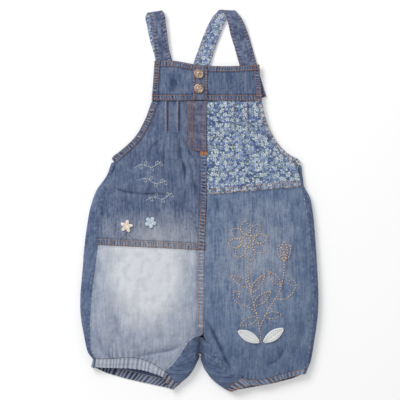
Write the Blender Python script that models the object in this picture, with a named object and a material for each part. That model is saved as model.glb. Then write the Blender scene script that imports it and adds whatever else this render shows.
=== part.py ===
"""A baby's denim shortalls, laid flat on their back.

Lengths are in millimetres until the meshes are made. X runs to the right and Y up the
garment, as it is seen from above, and Z is up from the surface that it lies on. Left and
right are the sides as seen. The cloth's outer face over any point of the upper layer is
height(x, y). The back panels are flat underneath, turn up round the sides and, below the
crotch, round the inner legs, and end on top at the side seam and the inseam.
"""

from collections import namedtuple
import math

import bmesh
import bpy
import numpy as np
from mathutils import Vector

MM = 0.001

# Cloth and seams
WALL = 1.2
PLY = 1.0
SEAM_GAP = 0.3
LAID_GAP = 0.4
HEM_RAISE = 0.6
HEM_EDGE = 1.2
ARMHOLE_HEM = 8.0
FELLED_SEAM = 8.5
YOKE_HEM = 8.5

# Width over which the back turns up at the crotch
TURN_WIDTH = 9.0

# Elastic casings at the leg ends
GATHER_PITCH = 6.6
GATHER_HEIGHT = 1.1
POINTS_PER_GATHER = 4
CASING_TOP = 9.9
CASING_EDGE = 9.5

# Buttons
BUTTON_RADIUS = 6.3
BUTTON_NECK = 3.0
BUTTON_PLACES = ((-1.6, 163.6), (-1.6, 144.6))

# How soon the upper layer rises from its edges
SIDE_RISE = 22.0
CROTCH_RISE = 9.0
HEM_RISE = 11.0
CENTRE_SEAM_X = 6.5
CENTRE_SEAM_DIP = 1.0
CENTRE_SEAM_WIDTH = 10.0

COLOURS = {
    "denim": (0.17, 0.23, 0.36),
    "dark denim": (0.10, 0.14, 0.25),
    "bleached denim": (0.47, 0.52, 0.60),
    "floral cotton": (0.24, 0.31, 0.42),
    "antique brass": (0.50, 0.36, 0.22),
    "cream felt": (0.80, 0.70, 0.58),
    "pale blue felt": (0.55, 0.66, 0.76),
    "white felt": (0.82, 0.83, 0.82),
}

# One row for each level down a half of the body, armpit to leg end: the side seam, the
# side's outermost point, the front's inner edge (centre seam, then inseam), the back's
# innermost point (centre back, then inner leg), and how far the back has turned up there,
# from 0 where it lies flat to 1 where it goes over the top to the inseam.
Level = namedtuple(
    "Level", "seam_x seam_y side_x side_y front_x front_y back_x back_y turn"
)
LEFT_LEVELS = [
    Level(-111.0, 47, -115.5, 48, 9.0, 35, 0, 103, 0),
    Level(-116.5, 31, -121.5, 32, 8.9, 20, 0, 78, 0),
    Level(-125.5, 10, -135.0, 12, 8.5, 2, 0, 48, 0),
    Level(-129.5, -10, -142.0, -8, 7.7, -17, 0, 18, 0),
    Level(-130.5, -32, -146.5, -30, 6.8, -39, 0, -14, 0),
    Level(-131.4, -47.8, -148.6, -46, 6.2, -54.8, 0, -38, 0),
    Level(-131.5, -49, -148.8, -47, 6.1, -56, 0, -40, 0),
    Level(-132.0, -58, -150.0, -57, 5.8, -65, 0, -54, 0),
    Level(-135.0, -81, -152.0, -81, 5.5, -88, 0, -84, 0),
    Level(-138.0, -104, -154.0, -104, 5.3, -112, 0, -112, 0),
    Level(-140.5, -127, -155.5, -126, 5.1, -135, 0, -138, 0),
    Level(-142.0, -146, -155.5, -144, 4.8, -155, 0, -160, 0),
    Level(-142.6, -160, -154.0, -159, 4.4, -167, 0, -174, 0),
    Level(-142.0, -187, -149.0, -187, -8.0, -178.4, -2.8, -209, 1),
    Level(-141.5, -191, -148.2, -191, -15.0, -184.5, -5.5, -215, 1),
    Level(-140.8, -195, -147.0, -195, -22.0, -195, -9.0, -221.5, 1),
    Level(-139.6, -199, -145.4, -199, -30.0, -207, -13.5, -228, 1),
    Level(-138.0, -202, -143.0, -202.5, -38.0, -216, -19.5, -233.5, 1),
    Level(-135.5, -205, -140.0, -205.5, -46.0, -222, -25.5, -238.5, 1),
]
LEFT_HEM = Level(-136.5, -216.5, -142.0, -217, -48.5, -229.5, -34.5, -246.5, 1)
LEFT_WAIST = 7
RIGHT_LEVELS = [
    Level(128.0, 44, 132.0, 44.5, 9.0, 36, 0, 103, 0),
    Level(129.8, 27.8, 133.7, 28.5, 9.0, 17, 0, 70, 0),
    Level(130.0, 26.6, 134.0, 27.2, 9.0, 15.8, 0, 68, 0),
    Level(131.0, 17.5, 135.2, 18.5, 9.0, 7, 0, 50, 0),
    Level(136.0, 3, 143.0, 3, 8.6, -8, 0, 24, 0),
    Level(140.0, -18, 147.0, -18, 7.6, -26, 0, -6, 0),
    Level(143.0, -42, 149.5, -42, 6.5, -50, 0, -38, 0),
    Level(145.0, -66, 151.0, -66, 5.8, -74, 0, -68, 0),
    Level(146.6, -90, 152.5, -90, 5.5, -98, 0, -96, 0),
    Level(147.6, -113, 153.6, -113, 5.3, -122, 0, -122, 0),
    Level(148.0, -134, 154.0, -134, 5.1, -143, 0, -145, 0),
    Level(147.0, -152, 153.0, -152, 4.8, -160, 0, -166, 0),
    Level(143.5, -188.5, 148.0, -188.5, 9.5, -185, 2.3, -211, 1),
    Level(142.6, -194, 147.2, -194, 15.0, -194, 5.0, -218.5, 1),
    Level(141.6, -199.5, 146.2, -199.5, 22.0, -205, 9.0, -225, 1),
    Level(140.6, -205, 145.2, -205, 30.5, -216.5, 14.0, -231.5, 1),
    Level(139.0, -211, 143.6, -211, 41.0, -225.5, 21.5, -238.5, 1),
    Level(136.0, -218.8, 140.6, -218, 54.0, -231, 31.0, -245.0, 1),
]
RIGHT_HEM = Level(134.0, -225.5, 138.6, -225.5, 64.5, -240.5, 39.0, -249.3, 1)
RIGHT_WAIST = 3

# More rows round the crotch, each at a share of the way down between the two levels that
# the leg starts between. For a front, where its inner edge is. For a back, its innermost
# point and turn, and where it ends on the centre seam, once it goes over the top.
FrontCrotch = namedtuple("FrontCrotch", "share x y")
BackCrotch = namedtuple("BackCrotch", "share x y turn end_x end_y")
LEFT_FRONT_CROTCH = [
    FrontCrotch(0.36, 3.9, -173.2),
    FrontCrotch(0.72, -0.6, -176.4),
]
LEFT_BACK_CROTCH = [
    BackCrotch(0.15, 0, -184.0, 0.08, None, None),
    BackCrotch(0.30, 0, -191.0, 0.25, None, None),
    BackCrotch(0.45, 0, -196.5, 0.50, None, None),
    BackCrotch(0.60, 0, -200.0, 0.78, None, None),
    BackCrotch(0.72, -0.2, -202.5, 1, -0.3, -194.0),
    BackCrotch(0.82, -0.6, -204.5, 1, -0.3, -185.0),
    BackCrotch(0.92, -1.4, -206.5, 1, -0.7, -177.2),
]
RIGHT_FRONT_CROTCH = [
    FrontCrotch(0.35, 4.6, -168.5),
    FrontCrotch(0.60, 4.6, -174.6),
    FrontCrotch(0.80, 5.4, -178.2),
]
RIGHT_BACK_CROTCH = [
    BackCrotch(0.20, 0, -181.0, 0.08, None, None),
    BackCrotch(0.36, 0, -189.5, 0.25, None, None),
    BackCrotch(0.50, 0, -196.0, 0.50, None, None),
    BackCrotch(0.64, 0, -200.0, 0.78, None, None),
    BackCrotch(0.76, 0.3, -203.0, 1, 0.3, -194.0),
    BackCrotch(0.85, 0.6, -205.5, 1, 0.3, -185.0),
    BackCrotch(0.93, 1.2, -208.0, 1, 0.7, -177.4),
]

# The bib above the armpit: the armhole's edge and the centre seam, from the yoke down
BibLevel = namedtuple("BibLevel", "edge_x edge_y centre_x centre_y")
LEFT_BIB = [
    BibLevel(-60.6, 132.6, 9.0, 132.6),
    BibLevel(-62.2, 129.6, 9.0, 129.4),
    BibLevel(-64.0, 125.0, 9.0, 124.6),
    BibLevel(-67.5, 115, 9.0, 114),
    BibLevel(-72.5, 103, 9.0, 99),
    BibLevel(-79.0, 90.5, 9.0, 88),
    BibLevel(-86.5, 80, 9.0, 77),
    BibLevel(-95.5, 71, 9.0, 64),
    BibLevel(-105.5, 62.5, 9.0, 54),
    BibLevel(-114.5, 54.5, 9.0, 44),
]
RIGHT_BIB = [
    BibLevel(78.9, 132.6, 9.0, 132.6),
    BibLevel(80.2, 129.2, 9.0, 129.4),
    BibLevel(81.4, 124.5, 9.0, 124.6),
    BibLevel(84.5, 110, 9.0, 112),
    BibLevel(91.5, 90.5, 9.0, 95),
    BibLevel(101.5, 73.5, 9.0, 79),
    BibLevel(114.5, 60.5, 9.0, 62),
    BibLevel(130.8, 49.5, 9.0, 46),
]

# Stitched tucks, as a distance from the centre seam, with the level that they end at
LEFT_TUCKS = (38.0, 53.0)
RIGHT_TUCKS = (35.0, 52.0)
TUCK_HALF_WIDTH = 1.6
TUCK_HEIGHT = 0.8
TUCK_END_Y = 90.0

# How far a leg end bows from a straight line, up or down: at the panel's edge, at the
# casing's lower edge, and how near to the inseam it is fullest
HemBow = namedtuple("HemBow", "panel casing skew")
LEFT_HEM_BOW = HemBow(10.0, 5.0, 1.5)
RIGHT_HEM_BOW = HemBow(-5.5, -3.5, 1.9)

# How far above the casing the front's rows start to bow
LEG_BOW_REACH = 36.0

# How far the backs' leg ends sag below a straight line, and from where they start to
LEG_SAG = 3.2
LEG_SAG_FROM = -190.0

# Height of the cloth at its outer edges, and at its crown, down the garment
HeightRow = namedtuple("HeightRow", "y edge crown")
HEIGHTS = [
    HeightRow(182, 6.6, 7.2),
    HeightRow(129, 6.9, 7.6),
    HeightRow(105, 5.0, 8.0),
    HeightRow(80, 4.0, 8.6),
    HeightRow(48, 4.4, 10.0),
    HeightRow(25, 6.4, 11.4),
    HeightRow(0, 7.6, 12.6),
    HeightRow(-60, 8.4, 14.2),
    HeightRow(-120, 9.0, 17.0),
    HeightRow(-175, 9.2, 17.5),
    HeightRow(-210, 9.2, 15.0),
    HeightRow(-250, 9.0, 11.0),
]

# The largest folds, each a line with its half width and its height, below 0 for a trough
Fold = namedtuple("Fold", "x1 y1 x2 y2 half_width height")
FOLDS = [
    Fold(-47, 84, -66, 52, 5.0, -1.0),
    Fold(-44, 78, -49, 28, 5.5, -1.2),
    Fold(-30, 80, -20, 30, 5.5, -1.2),
    Fold(-37, 80, -36, 30, 5.0, 0.9),
    Fold(-14, 58, -3, 2, 5.0, -1.0),
    Fold(-124, 18, -80, 8, 5.0, -0.9),
    Fold(-80, 8, -19, 6, 4.5, -1.1),
    Fold(46, 82, 42, 20, 6.0, -1.0),
    Fold(60, 82, 70, 40, 6.0, -0.8),
    Fold(-116, -132, -101, -186, 9.0, -1.6),
    Fold(-88, -195, -52, -192, 7.0, -1.8),
    Fold(-52, -192, -22, -180, 7.0, -1.6),
    Fold(-62, -150, -58, -182, 10.0, 1.4),
    Fold(9, -152, 28, -190, 8.0, -2.2),
    Fold(28, -190, 50, -226, 7.0, -2.4),
    Fold(112, -186, 92, -212, 7.0, -2.0),
    Fold(92, -212, 84, -228, 6.0, -1.8),
    Fold(132, -150, 116, -214, 9.0, -1.6),
    Fold(58, -190, 64, -222, 9.0, 1.2),
    Fold(104, -196, 104, -220, 7.0, 1.2),
    Fold(20, 0, 38, -22, 7.0, -0.9),
    Fold(118, -10, 124, -120, 8.0, -0.8),
]

# Yoke band: its edges, as points from left to right along the top
YOKE_TOP = [(-59, 181), (-35, 181), (-8, 176.5), (21, 174), (39, 174), (77, 176)]
YOKE_BOTTOM = [(-62.8, 129.4), (80.6, 129.2)]
YOKE_LAP = 1.7
YOKE_LAP_FROM = 120.0
PLACKET_LEFT, PLACKET_RIGHT = -9.0, 9.3
PLACKET_TOP, PLACKET_BOTTOM = 174.0, 130.4

# Fly facing: its straight edge, and the corner that rounds it off at the bottom
FLY_LEFT, FLY_RIGHT = -16.5, 8.4
FLY_TOP, FLY_BOTTOM = 128.6, 63.0
FLY_CORNER = (12.5, 13.5)

# Straps: rows across the ribbon, from the front end over the fold to the back end. Lift
# is how high the ribbon's lower face lies.
StrapRow = namedtuple("StrapRow", "left_x left_y right_x right_y lift")
FOLD_INSIDE = 1.1
STRAP_THICK = 2 * PLY + SEAM_GAP
LEFT_STRAP_FRONT = [
    StrapRow(-53.0, 135, -34.5, 134, 2.6),
    StrapRow(-55.0, 160, -36.5, 160, 2.6),
    StrapRow(-57.2, 183, -38.8, 184, 2.7),
    StrapRow(-60.0, 205, -41.5, 207, 2.9),
    StrapRow(-62.4, 226, -44.4, 229, 3.6),
    StrapRow(-66.0, 241, -47.6, 244, 4.4),
]
LEFT_STRAP_BACK = [
    StrapRow(-70.4, 240.4, -51.5, 243, 0.0),
    StrapRow(-68.8, 226, -50.0, 228, 0.0),
    StrapRow(-64.5, 206, -44.5, 207, 0.0),
    StrapRow(-59.2, 187, -37.6, 187, 0.0),
    StrapRow(-54.5, 162, -33.5, 162, 0.0),
    StrapRow(-50.5, 120, -31.5, 120, 0.0),
    StrapRow(-48.8, 106, -29.8, 106, 1.6),
    StrapRow(-47.0, 88, -28.6, 88, 1.6),
]
RIGHT_STRAP_FRONT = [
    StrapRow(66.0, 128.6, 86.3, 134.8, 0.0),
    StrapRow(59.5, 150, 80.6, 154, 0.0),
    StrapRow(51.2, 177, 73.6, 179, 0.0),
    StrapRow(45.5, 197, 68.0, 199, 0.0),
    StrapRow(40.0, 215, 62.6, 217, 0.6),
    StrapRow(36.4, 230, 57.2, 230, 2.8),
    StrapRow(30.5, 246, 50.5, 241, 4.4),
]
RIGHT_STRAP_BACK = [
    StrapRow(20.0, 242.3, 40.0, 246, 0.0),
    StrapRow(11.8, 230, 32.2, 230, 0.0),
    StrapRow(4.5, 214, 26.0, 214, 0.0),
    StrapRow(-2.6, 195, 19.0, 195, 0.0),
    StrapRow(-8.2, 179, 14.0, 179, 0.0),
    StrapRow(-17.5, 148, 3.5, 148, 0.0),
    StrapRow(-24.5, 120, -4.5, 120, 0.0),
    StrapRow(-27.2, 106, -7.5, 106, 1.6),
    StrapRow(-28.0, 88, -9.0, 88, 1.6),
]

# Felt flowers: centre, outer radius, petal count and the turn of the first petal
Flower = namedtuple("Flower", "name x y radius petals turn colour")
FLOWERS = [
    Flower("flower_cream", -95, -34, 8.2, 5, 80, "cream felt"),
    Flower("flower_blue", -64, -29, 7.6, 6, 60, "pale blue felt"),
]
FELT = 1.3

# White applique leaves at the foot of the stitched sprig: base point, tip and width
Leaf = namedtuple("Leaf", "name base_x base_y tip_x tip_y width")
LEAVES = [
    Leaf("applique_leaf_left", 77, -184, 49, -169, 13.5),
    Leaf("applique_leaf_right", 82, -184, 108, -166, 13.5),
]


def smoothstep(t):
    t = min(max(t, 0.0), 1.0)
    return t * t * (3 - 2 * t)


def unit(vector):
    return vector / np.linalg.norm(vector)


def distance_to(line, x, y):
    """Distance from a point to a line of points."""
    points = np.asarray(line, float)
    start, end = points[:-1], points[1:]
    run = end - start
    at = np.array([x, y])
    share = ((at - start) * run).sum(1) / (run * run).sum(1)
    nearest = start + np.clip(share, 0, 1)[:, None] * run
    return float(np.linalg.norm(nearest - at, axis=1).min())


def between(first, second, share):
    """The level at a share of the way from the first to the second."""
    mixed = [a + (b - a) * share for a, b in zip(first, second)]
    return Level(*mixed)


def with_crotch(levels, rows, is_front):
    """The levels with the extra rows of the crotch, and each one's end if it has one."""
    start = next(i for i, level in enumerate(levels) if level.turn == 1) - 1
    found = [(level, None) for level in levels]
    extra = []
    for row in rows:
        level = between(levels[start], levels[start + 1], row.share)
        if is_front:
            extra.append((level._replace(front_x=row.x, front_y=row.y), None))
            continue
        end = None if row.end_x is None else (row.end_x, row.end_y)
        extra.append((level._replace(back_x=row.x, back_y=row.y, turn=row.turn), end))
    return found[: start + 1] + extra + found[start + 1 :]


def bow(share, skew):
    """The shape of a leg end's bow, 0 at both seams and fullest towards the inseam."""
    return math.sin(math.pi * share**skew)


def leg_end_line(level, hem_bow, steps=8):
    """Points along the front's leg end, from the side seam to the inseam."""
    start = np.array([level.seam_x, level.seam_y])
    end = np.array([level.front_x, level.front_y])
    points = []
    for share in np.linspace(0, 1, steps + 1):
        rise = hem_bow.panel * bow(share, hem_bow.skew)
        points.append(tuple(start + (end - start) * share + (0, rise)))
    return points


def outlines():
    """The upper layer's outer edges, the inner legs' edges and the tops of the casings."""
    sides, inner_legs, leg_ends = [], [], []
    halves = (
        (YOKE_TOP[0], LEFT_BIB, LEFT_LEVELS, LEFT_BACK_CROTCH, LEFT_HEM, LEFT_HEM_BOW),
        (
            YOKE_TOP[-1],
            RIGHT_BIB,
            RIGHT_LEVELS,
            RIGHT_BACK_CROTCH,
            RIGHT_HEM,
            RIGHT_HEM_BOW,
        ),
    )
    for top, bib, levels, crotch, hem, hem_bow in halves:
        edge = [top] + [(b.edge_x, b.edge_y) for b in bib]
        sides.append(edge + [(v.side_x, v.side_y) for v in [*levels, hem]])
        turned = [(v.x, v.y) for v in crotch]
        turned += [(v.back_x, v.back_y) for v in [*levels, hem] if v.turn]
        inner_legs.append(turned)
        last = levels[-1]
        leg_ends.append([*leg_end_line(last, hem_bow), (last.back_x, last.back_y)])
    return sides, inner_legs, leg_ends


SIDES, INNER_LEGS, LEG_ENDS = outlines()


def fold_height(x, y):
    total = 0.0
    for fold in FOLDS:
        line = ((fold.x1, fold.y1), (fold.x2, fold.y2))
        away = distance_to(line, x, y) / fold.half_width
        total += fold.height * math.exp(-away * away)
    return total


def under_yoke(y):
    """How far the front panels dip, to go under the yoke band's lower edge."""
    return YOKE_LAP * smoothstep((y - YOKE_LAP_FROM) / (YOKE_BOTTOM[0][1] - YOKE_LAP_FROM))


def height(x, y):
    """Height of the upper layer's outer face over a point."""
    levels = [row.y for row in HEIGHTS][::-1]
    edge = np.interp(y, levels, [row.edge for row in HEIGHTS][::-1])
    crown = np.interp(y, levels, [row.crown for row in HEIGHTS][::-1])
    from_side = min(distance_to(line, x, y) for line in SIDES)
    from_leg = min(distance_to(line, x, y) for line in INNER_LEGS)
    from_end = min(distance_to(line, x, y) for line in LEG_ENDS)
    rise = 1 - math.exp(-from_side / SIDE_RISE)
    rise *= 1 - math.exp(-from_leg / CROTCH_RISE)
    z = edge + (crown - edge) * rise
    fullness = 1 - math.exp(-from_end / HEM_RISE)
    z = CASING_TOP + (z - CASING_TOP) * fullness
    seam = (x - CENTRE_SEAM_X) / CENTRE_SEAM_WIDTH
    if from_leg > CROTCH_RISE and y < FLY_BOTTOM:
        z -= CENTRE_SEAM_DIP * math.exp(-seam * seam) * (1 - math.exp(-from_leg / 30))
    return float(z + fold_height(x, y) * fullness * rise - under_yoke(y))


def material(colour_name, metallic=0.0):
    """The named colour as a material, made once."""
    found = bpy.data.materials.get(colour_name)
    if found:
        return found
    made = bpy.data.materials.new(colour_name)
    made.use_nodes = True
    shader = made.node_tree.nodes["Principled BSDF"]
    shader.inputs["Base Color"].default_value = (*COLOURS[colour_name], 1)
    shader.inputs["Roughness"].default_value = 0.4 if metallic else 0.9
    shader.inputs["Metallic"].default_value = metallic
    return made


def finish(name, mesh, colour_name, metallic=0.0):
    """Turns a bmesh in millimetres into a named object in metres."""
    bmesh.ops.recalc_face_normals(mesh, faces=mesh.faces)
    bmesh.ops.scale(mesh, vec=Vector((MM, MM, MM)), verts=mesh.verts)
    data = bpy.data.meshes.new(name)
    mesh.to_mesh(data)
    mesh.free()
    data.shade_smooth()
    data.materials.append(material(colour_name, metallic))
    obj = bpy.data.objects.new(name, data)
    bpy.context.scene.collection.objects.link(obj)
    return obj


def wall(name, outer, inner, colour_name):
    """A closed wall between two grids of points that match row for row."""
    outer, inner = np.asarray(outer, float), np.asarray(inner, float)
    rows, columns = outer.shape[:2]
    mesh = bmesh.new()
    skins = []
    for grid in (outer, inner):
        skins.append([[mesh.verts.new(point) for point in row] for row in grid])
    for skin in skins:
        for i in range(rows - 1):
            for j in range(columns - 1):
                corners = (skin[i][j], skin[i][j + 1], skin[i + 1][j + 1])
                mesh.faces.new((*corners, skin[i + 1][j]))
    rim = [(0, j) for j in range(columns)]
    rim += [(i, columns - 1) for i in range(1, rows)]
    rim += [(rows - 1, j) for j in range(columns - 2, -1, -1)]
    rim += [(i, 0) for i in range(rows - 2, 0, -1)]
    for (i, j), (k, m) in zip(rim, rim[1:] + rim[:1]):
        top, bottom = skins
        mesh.faces.new((top[i][j], top[k][m], bottom[k][m], bottom[i][j]))
    return finish(name, mesh, colour_name)


def lowered(grid, depth):
    return [[(x, y, z - depth) for x, y, z in row] for row in grid]


def inset(points, gaps, toward):
    """Moves each point of a line sideways by its gap, to the side where toward lies."""
    points = np.asarray(points, float)
    along = np.gradient(points, axis=0)
    moved = []
    for point, run, gap in zip(points, along, gaps):
        side = unit(np.array([-run[1], run[0]]))
        if np.dot(side, np.asarray(toward, float) - point) < 0:
            side = -side
        moved.append(point + side * gap)
    return moved


def edge_columns(width, start_hem, end_hem, between):
    """Distances across a panel: a hem at each edge, with its step, and what lies between."""
    start = [0.0, start_hem, start_hem + HEM_EDGE] if start_hem else [0.0]
    end = [width - end_hem - HEM_EDGE, width - end_hem, width] if end_hem else [width]
    middle = np.linspace(start[-1], end[0], between + 1)[1:-1]
    return [*start, *middle, *end]


def tuck_columns(width, tucks, centre_hem, armhole_hem):
    """Distances from the centre seam, with three points across each tuck."""
    places = [0.0, centre_hem, centre_hem + HEM_EDGE] if centre_hem else [0.0, 12.0]
    places.append((places[-1] + tucks[0] - TUCK_HALF_WIDTH) / 2)
    for tuck in tucks:
        places += [tuck - TUCK_HALF_WIDTH, tuck, tuck + TUCK_HALF_WIDTH]
    last = width - armhole_hem - HEM_EDGE
    places += list(np.linspace(places[-1], last, 5)[1:])
    return [*places, width - armhole_hem, width]


def armhole_width(y, armpit_y):
    """The armhole's hem, which runs out below the armpit."""
    return ARMHOLE_HEM if y > armpit_y else 3.0


def upper_panel(name, bib, levels, tucks, has_felled_edge, colour_name):
    """A front panel from the yoke to its waist seam, with tucks and raised hems."""
    armpit_y = levels[0].seam_y
    centre = [(b.centre_x, b.centre_y) for b in bib]
    centre += [(v.front_x, v.front_y) for v in levels]
    edge = [(b.edge_x, b.edge_y) for b in bib]
    seam = [(v.seam_x, v.seam_y) for v in levels]
    middle = (np.mean([p[0] for p in edge]) / 2, armpit_y)
    centre = inset(centre, [SEAM_GAP / 2] * len(centre), middle)
    edge = [np.array(p) for p in edge]
    edge += inset(seam, [SEAM_GAP] * len(seam), middle)
    centre_hem = FELLED_SEAM if has_felled_edge else 0.0
    grid = []
    for row, (inner, outer) in enumerate(zip(centre, edge)):
        width = np.linalg.norm(outer - inner)
        hem = armhole_width(outer[1], armpit_y)
        in_yoke = row < 2
        columns = tuck_columns(width, tucks, centre_hem, hem)
        in_seam = row >= len(edge) - 2
        points = []
        for number, place in enumerate(columns):
            x, y = inner + (outer - inner) * place / width
            z = height(x, y)
            at_centre = has_felled_edge and number < 2 and inner[1] < FLY_BOTTOM
            at_armhole = number >= len(columns) - 2 and outer[1] > armpit_y
            if (at_centre or at_armhole or in_seam) and not in_yoke:
                z += HEM_RAISE
            if place in tucks and inner[1] > TUCK_END_Y and not in_yoke:
                z += TUCK_HEIGHT
            points.append((x, y, z))
        grid.append(points)
    return wall(name, grid, lowered(grid, WALL), colour_name)


def leg_panel(name, levels, hem_bow, felled, colour_name, steps):
    """A front panel from its waist seam to the elastic casing."""
    gaps = [SEAM_GAP if v.turn else SEAM_GAP / 2 for v in levels]
    middle = (levels[0].seam_x / 2, levels[0].seam_y - 60)
    seam = [(v.seam_x, v.seam_y) for v in levels]
    seam = inset(seam, [SEAM_GAP] * len(seam), middle)
    front = inset([(v.front_x, v.front_y) for v in levels], gaps, middle)
    seam[0] = seam[0] - (0, SEAM_GAP)
    front[0] = front[0] - (0, SEAM_GAP)
    last = levels[-1].seam_y
    grid = []
    for outer, inner, level in zip(seam, front, levels):
        width = np.linalg.norm(outer - inner)
        bowed = hem_bow.panel * smoothstep(1 - (level.seam_y - last) / LEG_BOW_REACH)
        places = edge_columns(width, 0.0, felled, steps)
        points = []
        for number, place in enumerate(places):
            share = place / width
            x, y = outer + (inner - outer) * share
            y += bowed * bow(share, hem_bow.skew)
            z = height(x, y)
            if felled and not level.turn and number >= len(places) - 2:
                z += HEM_RAISE
            points.append((x, y, z))
        grid.append(points)
    return wall(name, grid, lowered(grid, WALL), colour_name)


def turn_radius(at, inward):
    """Radius of the turned-up edge, so that it meets the upper layer's height."""
    radius = 4.0
    for _ in range(4):
        x, y = at + inward * radius
        radius = height(x, y) / 2
    return radius


# A point on a back panel's ring: its place in plan, the outer face's height there, and
# the outward direction of the cloth as a share in plan and a share upwards
RingPoint = namedtuple("RingPoint", "plan z out up heading")


def arc_points(at, inward, angles):
    """Points round a turned-up edge whose outermost point is at, by angle from level."""
    radius = turn_radius(at, inward)
    centre = at + inward * radius
    points = []
    for angle in angles:
        out, up = math.cos(math.radians(angle)), math.sin(math.radians(angle))
        plan = centre - inward * radius * out
        points.append(RingPoint(plan, radius * (1 + up), out, up, -inward))
    return points


def top_points(start, end, count):
    """Points on the upper layer from start to end, without start."""
    points = []
    for share in np.linspace(0, 1, count + 1)[1:]:
        plan = start + (end - start) * share
        z = height(*plan)
        points.append(RingPoint(plan, z, 0.0, 1.0, np.zeros(2)))
    return points


def flat_points(start, end, rise, sag, shares):
    """Points on the underside. Rise bends the line up early, and sag lets it hang."""
    points = []
    for share in shares:
        plan = start + (end - start) * share
        bend = rise * (smoothstep(share / 0.56) - share)
        bend -= sag * math.sin(math.pi * share**0.6)
        plan = plan + np.array([0, bend])
        points.append(RingPoint(plan, 0.0, 0.0, -1.0, np.zeros(2)))
    return points


def part_turned_points(at, inward, turn, steps):
    """A quarter of an ellipse from the underside up to a seam that has partly turned."""
    rise = turn * height(*at)
    points = []
    for angle in np.radians(np.linspace(0, 90, steps + 1)[1:]):
        along, up = TURN_WIDTH * math.cos(angle), rise * math.sin(angle)
        plan = at + inward * TURN_WIDTH * (1 - math.sin(angle))
        normal = unit(np.array([up, -along]))
        z = rise * (1 - math.cos(angle))
        points.append(RingPoint(plan, z, normal[0], normal[1], -inward))
    return points


def over_points(at, inward, end, steps):
    """From the underside round an inner leg and over the top to end, evenly spaced."""
    top = arc_points(at, inward, [90])[0]
    arc_length = math.pi * top.z / 2
    length = arc_length + np.linalg.norm(end - top.plan)
    points = []
    for step in range(1, steps + 1):
        along = length * step / steps
        if along < arc_length:
            points += arc_points(at, inward, [180 * along / arc_length - 90])
            continue
        share = (along - arc_length) / (length - arc_length)
        plan = top.plan + (end - top.plan) * share
        points.append(RingPoint(plan, height(*plan), 0.0, 1.0, np.zeros(2)))
    return points


def back_ring(level, end=None, arc_steps=5, wrap_steps=9):
    """One level of a back panel, from the side seam underneath to its inner edge."""
    side = np.array([level.side_x, level.side_y], float)
    sign = math.copysign(1.0, level.side_x)
    inner = np.array([level.back_x + sign * SEAM_GAP / 2, level.back_y], float)
    inward = unit(inner - side)
    seam = np.array([level.seam_x, level.seam_y], float)
    side_arc = arc_points(side, inward, np.linspace(90, -90, arc_steps + 1))
    ring = top_points(side_arc[0].plan, seam, 2)[::-1] + side_arc
    start = side_arc[-1].plan
    if not level.turn:
        rise = max(0.0, inner[1] - side[1])
        shares = (0.12, 0.26, 0.4, 0.56, 0.8, *np.linspace(0.86, 1, wrap_steps))
        return ring + flat_points(start, inner, rise, 0.0, shares)
    shares = (0.15, 0.4, 0.65, 0.85, 1.0)
    if level.turn < 1:
        foot = inner - inward * TURN_WIDTH
        ring += flat_points(start, foot, 0.0, 0.0, shares)
        return ring + part_turned_points(inner, -inward, level.turn, wrap_steps)
    foot = arc_points(inner, -inward, [-90])[0].plan
    sag = LEG_SAG * smoothstep((LEG_SAG_FROM - side[1]) / 15)
    ring += flat_points(start, foot, 0.0, sag, shares)
    end = np.array(end or (level.front_x, level.front_y), float)
    return ring + over_points(inner, -inward, end, wrap_steps)


def ring_faces(ring, thickness=WALL, pushed_in=None):
    """The outer and inner points of a ring. pushed_in moves the cloth inwards."""
    pushed_in = pushed_in or [0.0] * len(ring)
    faces = []
    for depth in (0.0, thickness):
        row = []
        for point, push in zip(ring, pushed_in):
            inwards = depth + push
            plan = point.plan - point.heading * point.out * inwards
            row.append((plan[0], plan[1], point.z - point.up * inwards))
        faces.append(row)
    return faces


def back_panel(name, levels, crotch, colour_name):
    outer, inner = [], []
    for level, end in with_crotch(levels, crotch, is_front=False):
        faces = ring_faces(back_ring(level, end))
        outer.append(faces[0])
        inner.append(faces[1])
    return wall(name, outer, inner, colour_name)


def resampled(ring, count):
    """The ring with evenly spaced points, count spaces long, blended from its own."""
    places = np.array([(*p.plan, p.z) for p in ring])
    lengths = np.linalg.norm(np.diff(places, axis=0), axis=1)
    along = np.concatenate([[0], np.cumsum(lengths)])
    columns = np.array([(*p.plan, p.z, p.out, p.up, *p.heading) for p in ring])
    wanted = np.linspace(0, along[-1], count + 1)
    mixed = np.array([np.interp(wanted, along, c) for c in columns.T]).T
    return [RingPoint(m[:2], m[2], m[3], m[4], m[5:]) for m in mixed]


def gathers(count, taper=2):
    """How far each column of a casing is drawn in, as waves that fade at its ends."""
    waves = []
    for column in range(count + 1):
        phase = 2 * math.pi * column / POINTS_PER_GATHER
        fade = min(column, count - column, taper) / taper
        waves.append(GATHER_HEIGHT * fade * (1 - math.cos(phase)) / 2)
    return waves


def gather_columns(length):
    return POINTS_PER_GATHER * max(2, round(length / GATHER_PITCH))


def shifted(level, dx, dy):
    return level._replace(
        seam_x=level.seam_x + dx / 3,
        seam_y=level.seam_y + dy,
        side_x=level.side_x + dx / 3,
        side_y=level.side_y + dy,
        front_x=level.front_x + dx,
        front_y=level.front_y + dy,
        back_x=level.back_x + dx,
        back_y=level.back_y + dy,
    )


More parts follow.
